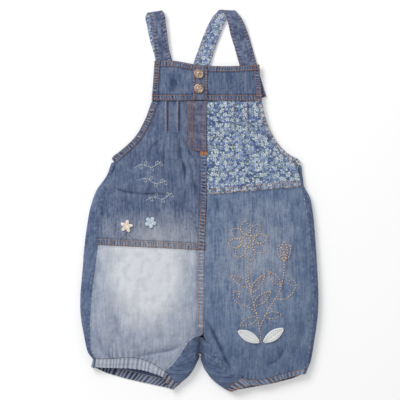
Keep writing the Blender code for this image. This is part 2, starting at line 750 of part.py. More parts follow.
def back_casing(name, top, hem, colour_name):
    """The elastic casing on a back panel's leg end, gathered all round."""
    outward = -1 if top.side_x < 0 else 1
    start = shifted(top, outward * SEAM_GAP, -2 * SEAM_GAP)
    rings = [back_ring(v) for v in (start, between(start, hem, 0.5), hem)]
    places = np.array([(*p.plan, p.z) for p in rings[1]])
    count = gather_columns(np.linalg.norm(np.diff(places, axis=0), axis=1).sum())
    outer, inner = [], []
    for number, ring in enumerate(rings):
        depth = 0.4 if number == 0 else 1.0
        push = [depth * w for w in gathers(count)]
        faces = ring_faces(resampled(ring, count), WALL, push)
        outer.append(faces[0])
        inner.append(faces[1])
    return wall(name, outer, inner, colour_name)


def front_casing(name, top, hem, hem_bow, colour_name):
    """The elastic casing on a front panel's leg end."""
    start = shifted(top, 0.0, -2 * SEAM_GAP)
    middle = between(start, hem, 0.5)
    length = math.dist((hem.seam_x, hem.seam_y), (hem.front_x, hem.front_y))
    count = gather_columns(length)
    middle_bow = (hem_bow.panel + hem_bow.casing) / 2
    rows = (
        (start, CASING_TOP, 0.4, hem_bow.panel),
        (middle, CASING_TOP, 1.0, middle_bow),
        (hem, CASING_EDGE, 1.0, hem_bow.casing),
    )
    grid = []
    for level, z, depth, rise in rows:
        outer = np.array([level.seam_x, level.seam_y], float)
        inner = np.array([level.front_x, level.front_y], float)
        run = unit(inner - outer)
        outer, inner = outer + run * 2 * SEAM_GAP, inner - run * SEAM_GAP
        points = []
        for share, wave in zip(np.linspace(0, 1, count + 1), gathers(count)):
            x, y = outer + (inner - outer) * share
            y += rise * bow(share, hem_bow.skew)
            points.append((x, y, z + depth * (0.5 - wave)))
        grid.append(points)
    return wall(name, grid, lowered(grid, WALL), colour_name)


def yoke(name, colour_name):
    """The band across the top of the bib, hemmed on all four sides."""
    top, bottom = np.array(YOKE_TOP, float), np.array(YOKE_BOTTOM, float)
    width = top[-1, 0] - top[0, 0]
    grid = []
    columns = edge_columns(width, YOKE_HEM - 1, YOKE_HEM - 1, 14)
    heights = edge_columns(top[0, 1] - bottom[0, 1], YOKE_HEM, YOKE_HEM, 3)
    for row, drop in enumerate(heights):
        points = []
        for column, place in enumerate(columns):
            share = place / width
            x_top = top[0, 0] + place
            y_top = np.interp(x_top, top[:, 0], top[:, 1])
            x_bottom, y_bottom = bottom[0] + (bottom[1] - bottom[0]) * share
            down = drop / heights[-1]
            x = x_top + (x_bottom - x_top) * down
            y = y_top + (y_bottom - y_top) * down
            in_hem = min(row, len(heights) - 1 - row) < 2
            in_hem = in_hem or min(column, len(columns) - 1 - column) < 2
            z = height(x, y) + under_yoke(y)
            points.append((x, y, z + (HEM_RAISE if in_hem else 0)))
        grid.append(points)
    return wall(name, grid, lowered(grid, WALL), colour_name)


def laid_on(name, rows, over, thickness, colour_name):
    """A patch that follows the upper layer, over it by a gap, with rows of plan points."""
    over += thickness
    outer = [[(x, y, height(x, y) + over) for x, y in row] for row in rows]
    return wall(name, outer, lowered(outer, thickness), colour_name)


def placket():
    rows = []
    for y in np.linspace(PLACKET_TOP, PLACKET_BOTTOM, 9):
        rows.append([(x, y) for x in np.linspace(PLACKET_LEFT, PLACKET_RIGHT, 4)])
    over = HEM_RAISE + LAID_GAP + PLY
    outer = [[(x, y, height(x, y) + under_yoke(y) + over) for x, y in row] for row in rows]
    wall("button_placket", outer, lowered(outer, PLY), "denim")


def fly_facing():
    """The mock fly, straight at the centre seam and rounded off at its outer corner."""
    across, down = FLY_CORNER
    rows = []
    straight = np.linspace(FLY_TOP, FLY_BOTTOM + down, 5)
    angles = np.radians([20, 40, 60, 80])
    levels = [(y, FLY_LEFT) for y in straight]
    for angle in angles:
        left = FLY_LEFT + across * (1 - math.cos(angle))
        levels.append((FLY_BOTTOM + down * (1 - math.sin(angle)), left))
    for y, left in levels:
        rows.append([(x, y) for x in np.linspace(left, FLY_RIGHT, 6)])
    laid_on("fly_facing", rows, LAID_GAP, PLY, "dark denim")


def strap_ply(name, front, back, inside, colour_name):
    """One ply of a strap; inside is its distance from the strap's inner face."""
    faces = ([], [])
    for depth, face in zip((inside + PLY, inside), faces):
        for row in front:
            z = row.lift + depth
            face.append(((row.left_x, row.left_y, z), (row.right_x, row.right_y, z)))
        last, first = front[-1], back[0]
        middle = (last.lift + first.lift + STRAP_THICK) / 2
        radius = middle - STRAP_THICK + depth
        for angle in (36, 72, 108, 144):
            share = angle / 180
            ahead = radius * math.sin(math.radians(angle))
            z = middle + radius * math.cos(math.radians(angle))
            ends = []
            for side in ("left", "right"):
                x1, y1 = getattr(last, side + "_x"), getattr(last, side + "_y")
                x2, y2 = getattr(first, side + "_x"), getattr(first, side + "_y")
                ends.append((x1 + (x2 - x1) * share, y1 + (y2 - y1) * share + ahead, z))
            face.append(tuple(ends))
        for row in back:
            z = row.lift + STRAP_THICK - depth
            face.append(((row.left_x, row.left_y, z), (row.right_x, row.right_y, z)))
    return wall(name, faces[0], faces[1], colour_name)


def strap(name, front, back):
    strap_ply(name + "_outer", front, back, PLY + SEAM_GAP, "denim")
    strap_ply(name + "_lining", front, back, 0.0, "floral cotton")


def button(name, x, y):
    """A domed tack button with its neck, turned about its own axis."""
    base = height(x, y) + under_yoke(y) + HEM_RAISE + LAID_GAP + PLY + LAID_GAP
    rim = BUTTON_RADIUS
    profile = [
        (BUTTON_NECK, 0.0),
        (BUTTON_NECK, 0.7),
        (rim - 0.5, 0.8),
        (rim, 1.3),
        (rim - 0.3, 2.2),
        (rim - 1.2, 2.6),
        (rim - 1.8, 2.2),
        (rim - 3.5, 2.3),
    ]
    mesh = bmesh.new()
    sides = 20
    rings = []
    for radius, z in profile:
        ring = []
        for step in range(sides):
            angle = 2 * math.pi * step / sides
            across, up = radius * math.cos(angle), radius * math.sin(angle)
            ring.append(mesh.verts.new((x + across, y + up, base + z)))
        rings.append(ring)
    for lower, upper in zip(rings, rings[1:]):
        for i in range(sides):
            j = (i + 1) % sides
            mesh.faces.new((lower[i], lower[j], upper[j], upper[i]))
    mesh.faces.new(rings[0])
    mesh.faces.new(rings[-1])
    return finish(name, mesh, "antique brass", 1.0)


def flower(spec):
    """A felt flower: petals as a waved outline, domed a little towards the middle."""
    steps = spec.petals * 8
    mesh = bmesh.new()
    base = height(spec.x, spec.y)
    skins = []
    for thickness in (FELT, 0.0):
        rings = []
        for share, rise in ((0.3, 0.5), (0.75, 0.3), (1.0, 0.0)):
            ring = []
            for step in range(steps):
                angle = 2 * math.pi * step / steps + math.radians(spec.turn)
                petal = abs(math.cos(spec.petals * (angle - math.radians(spec.turn)) / 2))
                reach = spec.radius * share * (1 - share * 0.45 * (1 - petal**0.7))
                x = spec.x + reach * math.cos(angle)
                y = spec.y + reach * math.sin(angle)
                dome = rise if thickness else 0.0
                lift = max(height(x, y), base - 0.3)
                ring.append(mesh.verts.new((x, y, lift + LAID_GAP + thickness + dome)))
            rings.append(ring)
        skins.append(rings)
    for rings in skins:
        for inside, outside in zip(rings, rings[1:]):
            for i in range(steps):
                j = (i + 1) % steps
                mesh.faces.new((inside[i], inside[j], outside[j], outside[i]))
        mesh.faces.new(rings[0])
    for i in range(steps):
        j = (i + 1) % steps
        top, bottom = skins[0][-1], skins[1][-1]
        mesh.faces.new((top[i], top[j], bottom[j], bottom[i]))
    return finish(spec.name, mesh, spec.colour)


def leaf(spec):
    """A white applique leaf, pointed at both ends, laid on the leg panel."""
    base = np.array([spec.base_x, spec.base_y], float)
    tip = np.array([spec.tip_x, spec.tip_y], float)
    across = unit(np.array([-(tip - base)[1], (tip - base)[0]]))
    rows = []
    for share in np.linspace(0, 1, 9):
        half = spec.width / 2 * (math.sin(math.pi * (0.06 + 0.88 * share)) ** 0.8)
        middle = base + (tip - base) * share
        rows.append([tuple(middle + across * half * s) for s in (-1, -0.4, 0.4, 1)])
    laid_on(spec.name, rows, LAID_GAP, PLY, "white felt")


def centre_on_origin():
    """Moves every mesh so that the garment's base is centred on the origin."""
    low, high = np.full(3, np.inf), np.full(3, -np.inf)
    meshes = [obj.data for obj in bpy.context.scene.objects]
    for mesh in meshes:
        points = np.array([v.co for v in mesh.vertices])
        low, high = np.minimum(low, points.min(0)), np.maximum(high, points.max(0))
    middle = Vector(((low[0] + high[0]) / 2, (low[1] + high[1]) / 2, low[2]))
    for mesh in meshes:
        for vertex in mesh.vertices:
            vertex.co -= middle
    print("moved by", tuple(round(-value / MM, 3) for value in middle), "mm")


def main():
    for obj in list(bpy.data.objects):
        bpy.data.objects.remove(obj)
    yoke("yoke_band", "denim")
    placket()
    left_top, right_top = LEFT_LEVELS[: LEFT_WAIST + 1], RIGHT_LEVELS[: RIGHT_WAIST + 1]
    upper_panel("front_left_upper", LEFT_BIB, left_top, LEFT_TUCKS, True, "denim")
    upper_panel(
        "front_right_upper", RIGHT_BIB, right_top, RIGHT_TUCKS, False, "floral cotton"
    )
    left_leg, right_leg = LEFT_LEVELS[LEFT_WAIST:], RIGHT_LEVELS[RIGHT_WAIST:]
    left_leg = [v for v, _ in with_crotch(left_leg, LEFT_FRONT_CROTCH, is_front=True)]
    right_leg = [v for v, _ in with_crotch(right_leg, RIGHT_FRONT_CROTCH, is_front=True)]
    leg_panel(
        "front_left_leg", left_leg, LEFT_HEM_BOW, FELLED_SEAM, "bleached denim", 12
    )
    leg_panel("front_right_leg", right_leg, RIGHT_HEM_BOW, 0.0, "denim", 14)
    fly_facing()
    back_panel("back_left", LEFT_LEVELS, LEFT_BACK_CROTCH, "denim")
    back_panel("back_right", RIGHT_LEVELS, RIGHT_BACK_CROTCH, "denim")
    front_casing(
        "casing_left_front", LEFT_LEVELS[-1], LEFT_HEM, LEFT_HEM_BOW, "bleached denim"
    )
    front_casing(
        "casing_right_front", RIGHT_LEVELS[-1], RIGHT_HEM, RIGHT_HEM_BOW, "denim"
    )
    back_casing("casing_left_back", LEFT_LEVELS[-1], LEFT_HEM, "dark denim")
    back_casing("casing_right_back", RIGHT_LEVELS[-1], RIGHT_HEM, "denim")
    strap("strap_left", LEFT_STRAP_FRONT, LEFT_STRAP_BACK)
    strap("strap_right", RIGHT_STRAP_FRONT, RIGHT_STRAP_BACK)
    for name, (x, y) in zip(("button_upper", "button_lower"), BUTTON_PLACES):
        button(name, x, y)
    for spec in FLOWERS:
        flower(spec)
    for spec in LEAVES:
        leaf(spec)
    centre_on_origin()


main()
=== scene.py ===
import math

import bmesh
import bpy
import numpy as np
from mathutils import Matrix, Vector
from mathutils.bvhtree import BVHTree


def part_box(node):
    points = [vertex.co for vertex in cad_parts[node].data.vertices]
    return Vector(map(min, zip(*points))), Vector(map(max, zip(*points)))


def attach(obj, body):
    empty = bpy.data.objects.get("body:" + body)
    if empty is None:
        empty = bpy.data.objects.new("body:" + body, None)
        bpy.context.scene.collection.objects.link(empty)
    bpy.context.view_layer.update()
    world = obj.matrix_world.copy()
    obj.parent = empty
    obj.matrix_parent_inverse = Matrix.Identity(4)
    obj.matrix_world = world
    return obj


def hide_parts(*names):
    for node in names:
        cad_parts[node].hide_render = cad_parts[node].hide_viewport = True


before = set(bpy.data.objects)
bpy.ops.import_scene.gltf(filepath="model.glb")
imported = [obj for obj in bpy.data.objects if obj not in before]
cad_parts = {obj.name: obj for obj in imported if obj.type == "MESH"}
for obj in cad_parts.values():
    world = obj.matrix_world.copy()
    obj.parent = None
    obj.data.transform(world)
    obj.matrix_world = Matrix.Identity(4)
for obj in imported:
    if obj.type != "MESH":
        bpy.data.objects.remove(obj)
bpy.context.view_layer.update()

# Lengths are in millimetres until a mesh is made. The garment lies on its back on z = 0,
# seen from above, with left and right as they are seen.
mm = 0.001
buttonLow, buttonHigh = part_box("button_upper")
shift = np.array(
    [
        (buttonLow.x + buttonHigh.x) / 2 / mm + 1.6,
        (buttonLow.y + buttonHigh.y) / 2 / mm - 163.6,
        0.0,
    ]
)
print("frame loaded, pattern shifted by", [round(float(v), 2) for v in shift], "mm")

# The cut of the garment
# Levels down a half: side seam, outermost side, front's inner edge, back's innermost point,
# and how far the back has turned up there (1 = over the top to the inseam).
leftHalf = {
    "yokeCorner": (-59, 181),
    "bib": [
        (-60.6, 132.6, 9.0, 132.6),
        (-62.2, 129.6, 9.0, 129.4),
        (-64.0, 125.0, 9.0, 124.6),
        (-67.5, 115, 9.0, 114),
        (-72.5, 103, 9.0, 99),
        (-79.0, 90.5, 9.0, 88),
        (-86.5, 80, 9.0, 77),
        (-95.5, 71, 9.0, 64),
        (-105.5, 62.5, 9.0, 54),
        (-114.5, 54.5, 9.0, 44),
    ],
    "levels": [
        (-111.0, 47, -115.5, 48, 9.0, 35, 0, 103, 0),
        (-116.5, 31, -121.5, 32, 8.9, 20, 0, 78, 0),
        (-125.5, 10, -135.0, 12, 8.5, 2, 0, 48, 0),
        (-129.5, -10, -142.0, -8, 7.7, -17, 0, 18, 0),
        (-130.5, -32, -146.5, -30, 6.8, -39, 0, -14, 0),
        (-131.5, -49, -148.8, -47, 6.1, -56, 0, -40, 0),
        (-132.0, -58, -150.0, -57, 5.8, -65, 0, -54, 0),
        (-135.0, -81, -152.0, -81, 5.5, -88, 0, -84, 0),
        (-138.0, -104, -154.0, -104, 5.3, -112, 0, -112, 0),
        (-140.5, -127, -155.5, -126, 5.1, -135, 0, -138, 0),
        (-142.0, -146, -155.5, -144, 4.8, -155, 0, -160, 0),
        (-142.6, -160, -154.0, -159, 4.4, -167, 0, -174, 0),
        (-142.0, -187, -149.0, -187, -8.0, -178.4, -2.8, -209, 1),
        (-141.5, -191, -148.2, -191, -15.0, -184.5, -5.5, -215, 1),
        (-140.8, -195, -147.0, -195, -22.0, -195, -9.0, -221.5, 1),
        (-139.6, -199, -145.4, -199, -30.0, -207, -13.5, -228, 1),
        (-138.0, -202, -143.0, -202.5, -38.0, -216, -19.5, -233.5, 1),
        (-135.5, -205, -140.0, -205.5, -46.0, -222, -25.5, -238.5, 1),
    ],
    "frontCrotch": [(0.36, 3.9, -173.2), (0.72, -0.6, -176.4)],
    "backCrotch": [
        (0.15, 0, -184.0, 0.08, None),
        (0.30, 0, -191.0, 0.25, None),
        (0.45, 0, -196.5, 0.50, None),
        (0.60, 0, -200.0, 0.78, None),
        (0.72, -0.2, -202.5, 1, (-0.3, -194.0)),
        (0.82, -0.6, -204.5, 1, (-0.3, -185.0)),
        (0.92, -1.4, -206.5, 1, (-0.7, -177.2)),
    ],
    "hem": (-136.5, -216.5, -142.0, -217, -48.5, -229.5, -34.5, -246.5, 1),
    "waist": 6,  # the level of the cross seam
    "bow": (10.0, 5.0, 1.5),
}
rightHalf = {
    "yokeCorner": (77, 176),
    "bib": [
        (78.9, 132.6, 9.0, 132.6),
        (80.2, 129.2, 9.0, 129.4),
        (81.4, 124.5, 9.0, 124.6),
        (84.5, 110, 9.0, 112),
        (91.5, 90.5, 9.0, 95),
        (101.5, 73.5, 9.0, 79),
        (114.5, 60.5, 9.0, 62),
        (130.8, 49.5, 9.0, 46),
    ],
    "levels": [
        (128.0, 44, 132.0, 44.5, 9.0, 36, 0, 103, 0),
        (130.0, 26.6, 134.0, 27.2, 9.0, 15.8, 0, 68, 0),
        (131.0, 17.5, 135.2, 18.5, 9.0, 7, 0, 50, 0),
        (136.0, 3, 143.0, 3, 8.6, -8, 0, 24, 0),
        (140.0, -18, 147.0, -18, 7.6, -26, 0, -6, 0),
        (143.0, -42, 149.5, -42, 6.5, -50, 0, -38, 0),
        (145.0, -66, 151.0, -66, 5.8, -74, 0, -68, 0),
        (146.6, -90, 152.5, -90, 5.5, -98, 0, -96, 0),
        (147.6, -113, 153.6, -113, 5.3, -122, 0, -122, 0),
        (148.0, -134, 154.0, -134, 5.1, -143, 0, -145, 0),
        (147.0, -152, 153.0, -152, 4.8, -160, 0, -166, 0),
        (143.5, -188.5, 148.0, -188.5, 9.5, -185, 2.3, -211, 1),
        (142.6, -194, 147.2, -194, 15.0, -194, 5.0, -218.5, 1),
        (141.6, -199.5, 146.2, -199.5, 22.0, -205, 9.0, -225, 1),
        (140.6, -205, 145.2, -205, 30.5, -216.5, 14.0, -231.5, 1),
        (139.0, -211, 143.6, -211, 41.0, -225.5, 21.5, -238.5, 1),
        (136.0, -218.8, 140.6, -218, 54.0, -231, 31.0, -245.0, 1),
    ],
    "frontCrotch": [(0.35, 4.6, -168.5), (0.60, 4.6, -174.6), (0.80, 5.4, -178.2)],
    "backCrotch": [
        (0.20, 0, -181.0, 0.08, None),
        (0.36, 0, -189.5, 0.25, None),
        (0.50, 0, -196.0, 0.50, None),
        (0.64, 0, -200.0, 0.78, None),
        (0.76, 0.3, -203.0, 1, (0.3, -194.0)),
        (0.85, 0.6, -205.5, 1, (0.3, -185.0)),
        (0.93, 1.2, -208.0, 1, (0.7, -177.4)),
    ],
    "hem": (134.0, -225.5, 138.6, -225.5, 64.5, -240.5, 39.0, -249.3, 1),
    "waist": 2,
    "bow": (-5.5, -3.5, 1.9),
}
cloth = {
    "wall": 1.0,
    "sideRise": 22.0,
    "crotchRise": 9.0,
    "hemRise": 11.0,
    "seamDip": 1.0,
    "seamX": 6.5,
    "seamWidth": 10.0,
    "turnWidth": 9.0,
    "yokeLap": 1.7,
    "yokeLapFrom": 120.0,
    "yokeEdge": 129.4,
    "flyBottom": 63.0,
    "casingTop": 9.9,
    "casingEdge": 9.5,
    "legSag": 3.2,
    "legSagFrom": -190.0,
    "legBowReach": 36.0,
    "detail": 1.25,
}
# y, height at the edges, height at the crown
heightRows = np.array(
    [
        (-250, 9.0, 11.0),
        (-210, 9.2, 15.0),
        (-175, 9.2, 17.5),
        (-120, 9.0, 17.0),
        (-60, 8.4, 14.2),
        (0, 7.6, 12.6),
        (25, 6.4, 11.4),
        (48, 4.4, 10.0),
        (80, 4.0, 8.6),
        (105, 5.0, 8.0),
        (129, 6.9, 7.6),
        (182, 6.6, 7.2),
    ]
)
# line, half width, height (below 0 is a trough), and how dark its crease is painted, as dye kept in the
# crease and painted shade
foldRows = [
    ([(-47, 84), (-66, 62), (-66, 52)], 3.4, -0.9, 0.75),
    ([(-45, 87), (-48, 44), (-48.5, 28)], 3.2, -1.2, 0.9),
    ([(-38, 87), (-39.5, 64), (-37, 30)], 2.6, -0.7, 0.6),
    ([(-28, 87), (-25, 58), (-19.5, 36), (-23.5, 8)], 3.4, -1.3, 1.0),
    ([(-23.5, 87), (-15, 64), (-4, 47), (-2.6, 36)], 2.8, -1.0, 0.8),
    ([(-14, 53), (-8, 22), (-1, 2)], 3.2, -0.9, 0.7),
    ([(-34, 82), (-32, 40)], 3.4, 0.8, 0.0),
    ([(-119, 20), (-101, 12), (-83, 9), (-57, 8), (-19.5, 6)], 3.0, -1.0, 0.95),
    ([(-101, 2), (-87, -6.5)], 4.0, -0.6, 0.5),
    ([(-118, 26), (-126, -2), (-128, -40)], 3.5, -0.5, 0.5),
    ([(-60, -12), (-66, -40)], 5.0, -0.3, 0.25),
    ([(-30, 0), (-34, -42)], 5.0, -0.3, 0.25),
    ([(46, 82), (44, 50), (42, 20)], 4.0, -0.9, 0.5),
    ([(60, 82), (66, 60), (70, 40)], 4.0, -0.8, 0.5),
    ([(32, 86), (28, 56)], 4.0, -0.6, 0.4),
    ([(53, 84), (54, 44)], 4.0, 0.6, 0.0),
    ([(92, 66), (100, 40), (102, 26)], 4.0, -0.5, 0.35),
    ([(20, 4), (26, -20)], 5.0, -0.7, 0.6),
    ([(38, 2), (44, -22)], 4.0, -0.6, 0.5),
    ([(12, 0), (14, -40)], 4.0, -0.5, 0.45),
    ([(128, 12), (126, -14)], 4.5, -0.6, 0.5),
    ([(120, -10), (126, -70), (127, -120)], 7.0, -0.7, 0.35),
    ([(134, -20), (138, -90)], 5.0, -0.5, 0.4),
    ([(6.5, -151), (23.4, -184.6), (41.6, -219.7), (54, -230)], 5.5, -2.3, 1.0),
    ([(12, -146), (36, -186), (58, -222)], 7.0, 1.0, 0.0),
    ([(111, -188), (105, -200), (97, -209), (88, -213), (84.4, -222)], 4.6, -1.8, 0.9),
    ([(118, -190), (110, -206), (98, -218)], 6.0, 0.8, 0.0),
    ([(135, -149.5), (129, -178), (122, -196), (117, -216)], 8.0, -1.5, 0.45),
    ([(64, -200), (70, -226)], 6.0, -0.8, 0.4),
    ([(-115.3, -130), (-101.8, -188.5)], 7.0, -1.3, 0.55),
    ([(-86, -203), (-57, -197.6), (-30, -190.7), (-22, -183)], 3.4, -2.0, 1.0),
    ([(-84, -196), (-56, -190), (-34, -184)], 6.0, 1.0, 0.0),
    ([(-125, -195.7), (-110.5, -208.5)], 4.0, -0.9, 0.6),
    ([(-132, -176), (-122, -204)], 4.0, -0.8, 0.5),
    ([(-60, -150), (-56, -182)], 9.0, 0.8, 0.0),
]


def smoothstep(t):
    t = np.clip(t, 0.0, 1.0)
    return t * t * (3 - 2 * t)


def unit(vector):
    return vector / np.linalg.norm(vector)


# distance from a line of points, and how far along it the nearest point is
def nearestOn(line, x, y):
    x, y = np.asarray(x, float), np.asarray(y, float)
    best = np.full(x.shape, 1e9)
    place = np.zeros(x.shape)
    run = 0.0
    for start, end in zip(line[:-1], line[1:]):
        dx, dy = end[0] - start[0], end[1] - start[1]
        length = math.hypot(dx, dy)
        share = ((x - start[0]) * dx + (y - start[1]) * dy) / length**2
        share = np.clip(share, 0, 1)
        away = np.hypot(x - start[0] - share * dx, y - start[1] - share * dy)
        closer = away < best
        best = np.where(closer, away, best)
        place = np.where(closer, run + share * length, place)
        run += length
    return best, place


# a smooth random field, from about -1 to 1, with bumps of the given size
def ripple(x, y, size, seed):
    table = np.random.default_rng(seed).uniform(-1, 1, (64, 64))
    u, v = np.asarray(x, float) / size + 500, np.asarray(y, float) / size + 500
    i, j = np.floor(u).astype(int), np.floor(v).astype(int)
    fu, fv = smoothstep(u - i), smoothstep(v - j)
    low = table[i % 64, j % 64] * (1 - fu) + table[(i + 1) % 64, j % 64] * fu
    high = table[i % 64, (j + 1) % 64] * (1 - fu) + table[(i + 1) % 64, (j + 1) % 64] * fu
    return low * (1 - fv) + high * fv


def bowShape(share, skew):
    return np.sin(np.pi * np.asarray(share, float) ** skew)


def mixLevels(first, second, share):
    return tuple(a + (b - a) * share for a, b in zip(first, second))


def legEndLine(half):
    level = half["levels"][-1]
    start, end = np.array(level[0:2]), np.array(level[4:6])
    shares = np.linspace(0, 1, 9)
    line = [start + (end - start) * s for s in shares]
    rise = [half["bow"][0] * float(bowShape(s, half["bow"][2])) for s in shares]
    return [(p[0], p[1] + r) for p, r in zip(line, rise)]


# rows made smooth and even by cubic pieces through them
def refineCounts(rows, spacing, most=400):
    rows = np.asarray(rows, float)
    steps = np.linalg.norm((rows[1:] - rows[:-1]).reshape(len(rows) - 1, -1), axis=1)
    steps = np.maximum(steps / math.sqrt(max(1, rows[0].size / 3)), 1e-3)
    return steps, [int(min(most, max(1, math.ceil(s / spacing)))) for s in steps]


def refine(rows, steps, counts):
    rows = np.asarray(rows, float)
    slope = [(rows[i + 1] - rows[i]) / steps[i] for i in range(len(steps))]
    tangent = [slope[0]]
    for i in range(1, len(steps)):
        before, after = steps[i - 1], steps[i]
        tangent.append((slope[i - 1] * after + slope[i] * before) / (before + after))
    tangent.append(slope[-1])
    made = []
    for i, (step, count) in enumerate(zip(steps, counts)):
        for k in range(count):
            t = k / count
            a, b = 2 * t**3 - 3 * t**2 + 1, t**3 - 2 * t**2 + t
            c, d = -2 * t**3 + 3 * t**2, t**3 - t**2
            point = a * rows[i] + b * step * tangent[i]
            made.append(point + c * rows[i + 1] + d * step * tangent[i + 1])
    made.append(rows[-1])
    return np.array(made)


def smoothRows(rows, spacing, most=400):
    steps, counts = refineCounts(rows, spacing, most)
    return refine(rows, steps, counts)


# the smooth line through a few points, about evenly spaced
def curveThrough(points, spacing=1.2):
    flat = [(x, y, 0) for x, y in points]
    return [(p[0], p[1]) for p in smoothRows(np.array(flat, float), spacing)]


def outlines():
    sides, innerLegs, legEnds = [], [], []
    for half in (leftHalf, rightHalf):
        lower = half["levels"] + [half["hem"]]
        side = [half["yokeCorner"]] + [row[0:2] for row in half["bib"]]
        sides.append(side + [row[2:4] for row in lower])
        turned = [row[1:3] for row in half["backCrotch"]]
        innerLegs.append(turned + [row[6:8] for row in lower if row[8]])
        legEnds.append(legEndLine(half) + [half["levels"][-1][6:8]])
    return sides, innerLegs, legEnds


sideLines, innerLegLines, legEndLines = outlines()
folds = [(curveThrough(row[0], 4.0), *row[1:]) for row in foldRows]


def underYoke(y):
    reach = cloth["yokeEdge"] - cloth["yokeLapFrom"]
    return cloth["yokeLap"] * smoothstep((np.asarray(y) - cloth["yokeLapFrom"]) / reach)


# height of the upper layer's outer face, and how dark the creases there are painted, as dye kept in them and
# painted shade
def surface(x, y):
    x, y = np.asarray(x, float), np.asarray(y, float)
    edge = np.interp(y, heightRows[:, 0], heightRows[:, 1])
    crown = np.interp(y, heightRows[:, 0], heightRows[:, 2])
    fromSide = np.minimum(*[nearestOn(line, x, y)[0] for line in sideLines])
    fromLeg = np.minimum(*[nearestOn(line, x, y)[0] for line in innerLegLines])
    fromEnd = np.minimum(*[nearestOn(line, x, y)[0] for line in legEndLines])
    rise = 1 - np.exp(-fromSide / cloth["sideRise"])
    rise = rise * (1 - np.exp(-fromLeg / cloth["crotchRise"]))
    fullness = 1 - np.exp(-fromEnd / cloth["hemRise"])
    z = edge + (crown - edge) * rise
    z = cloth["casingTop"] + (z - cloth["casingTop"]) * fullness
    seam = (x - cloth["seamX"]) / cloth["seamWidth"]
    dip = cloth["seamDip"] * np.exp(-seam * seam) * (1 - np.exp(-fromLeg / 30))
    belowFly = smoothstep((fromLeg - 5) / 8) * smoothstep((cloth["flyBottom"] - y) / 8)
    z = z - dip * belowFly
    dark = np.zeros_like(z)
    for number, (line, halfWidth, depth, creaseDyeAndShade) in enumerate(folds):
        away, along = nearestOn(line, x, y)
        total = sum(math.dist(a, b) for a, b in zip(line[:-1], line[1:]))
        share = along / total
        taper = smoothstep(share / 0.22) * smoothstep((1 - share) / 0.35)
        taper = taper * (0.85 + 0.3 * ripple(along, 0, 9, 400 + number))
        reach = halfWidth * (0.7 + 0.5 * taper)
        bend = np.exp(-((away / reach) ** 2)) * taper
        z = z + 1.45 * depth * bend * fullness * rise
        # the trough of each fold is darkened: dye kept in the crease and painted shade
        if creaseDyeAndShade:
            dark = np.maximum(dark, 0.85 * creaseDyeAndShade * taper * np.exp(-((away / (reach * 0.42)) ** 2)))
    return z - underYoke(y), dark


# heights on a grid, read off between its points
heightMap = {"left": -164.0, "bottom": -258.0, "step": 1.25, "columns": 263, "rows": 362}


def measureHeights():
    x = heightMap["left"] + heightMap["step"] * np.arange(heightMap["columns"])
    y = heightMap["bottom"] + heightMap["step"] * np.arange(heightMap["rows"])
    heightMap["z"] = surface(*np.meshgrid(x, y))[0]


def height(x, y):
    u = (x - heightMap["left"]) / heightMap["step"]
    v = (y - heightMap["bottom"]) / heightMap["step"]
    i, j = int(u), int(v)
    u, v = u - i, v - j
    z = heightMap["z"]
    low = z[j, i] * (1 - u) + z[j, i + 1] * u
    high = z[j + 1, i] * (1 - u) + z[j + 1, i + 1] * u
    return float(low * (1 - v) + high * v)


measureHeights()
print("heights measured")


# Hems, seams and their puckers
# A hem along a line: it stands up, and puckers between its rows of stitches.
def hem(x, y, line, width, raised=0.45, depth=0.3, pitch=4.4, seed=1, reach=None, tone=1.0):
    lean = 0.12  # how far the puckers slant, for each millimetre in from the edge
    away, along = nearestOn(line, x, y)
    band = smoothstep((width + 0.5 - away) / 1.1)
    phase = 2 * np.pi * (along + lean * away) / pitch
    phase = phase + 2.4 * ripple(along, 0, pitch * 1.7, seed) + 1.5 * ripple(along, away, 3.4, seed + 1)
    ridge = np.sin(phase) * np.clip(0.7 + 0.75 * ripple(along, away * 0.6, 5.5, seed + 3), 0.1, 1.3)
    spread = np.exp(-(((away - width * 0.5) / (width * 0.5 + 0.6)) ** 2))
    groove = np.exp(-(((away - width - 0.7) / 0.9) ** 2))
    z = raised * band + depth * spread * ridge - 0.15 * groove
    wear = 1.25 * tone * spread * np.clip(ridge * 1.1 - 0.05, 0, 1) ** 1.3 * band
    # pucker troughs and the groove beside the hem are darkened: dye kept there and painted shade
    creaseDyeAndShade = tone * (spread * np.clip(0.3 - 0.8 * ridge, 0, 1) * 0.9 * band + groove * 0.55)
    if reach is not None:
        z, wear, creaseDyeAndShade = z * reach, wear * reach, creaseDyeAndShade * reach
    return z, wear, creaseDyeAndShade


# adds a hem to the running height, wear and crease darkening (kept dye and painted shade) of a piece
def addHem(parts, x, y, line, width, **options):
    z, wear, creaseDyeAndShade = hem(x, y, line, width, **options)
    parts["z"] = parts["z"] + z
    parts["wear"] = np.maximum(parts["wear"], wear)
    parts["creaseDyeAndShade"] = np.maximum(parts["creaseDyeAndShade"], creaseDyeAndShade)


madePieces = {}


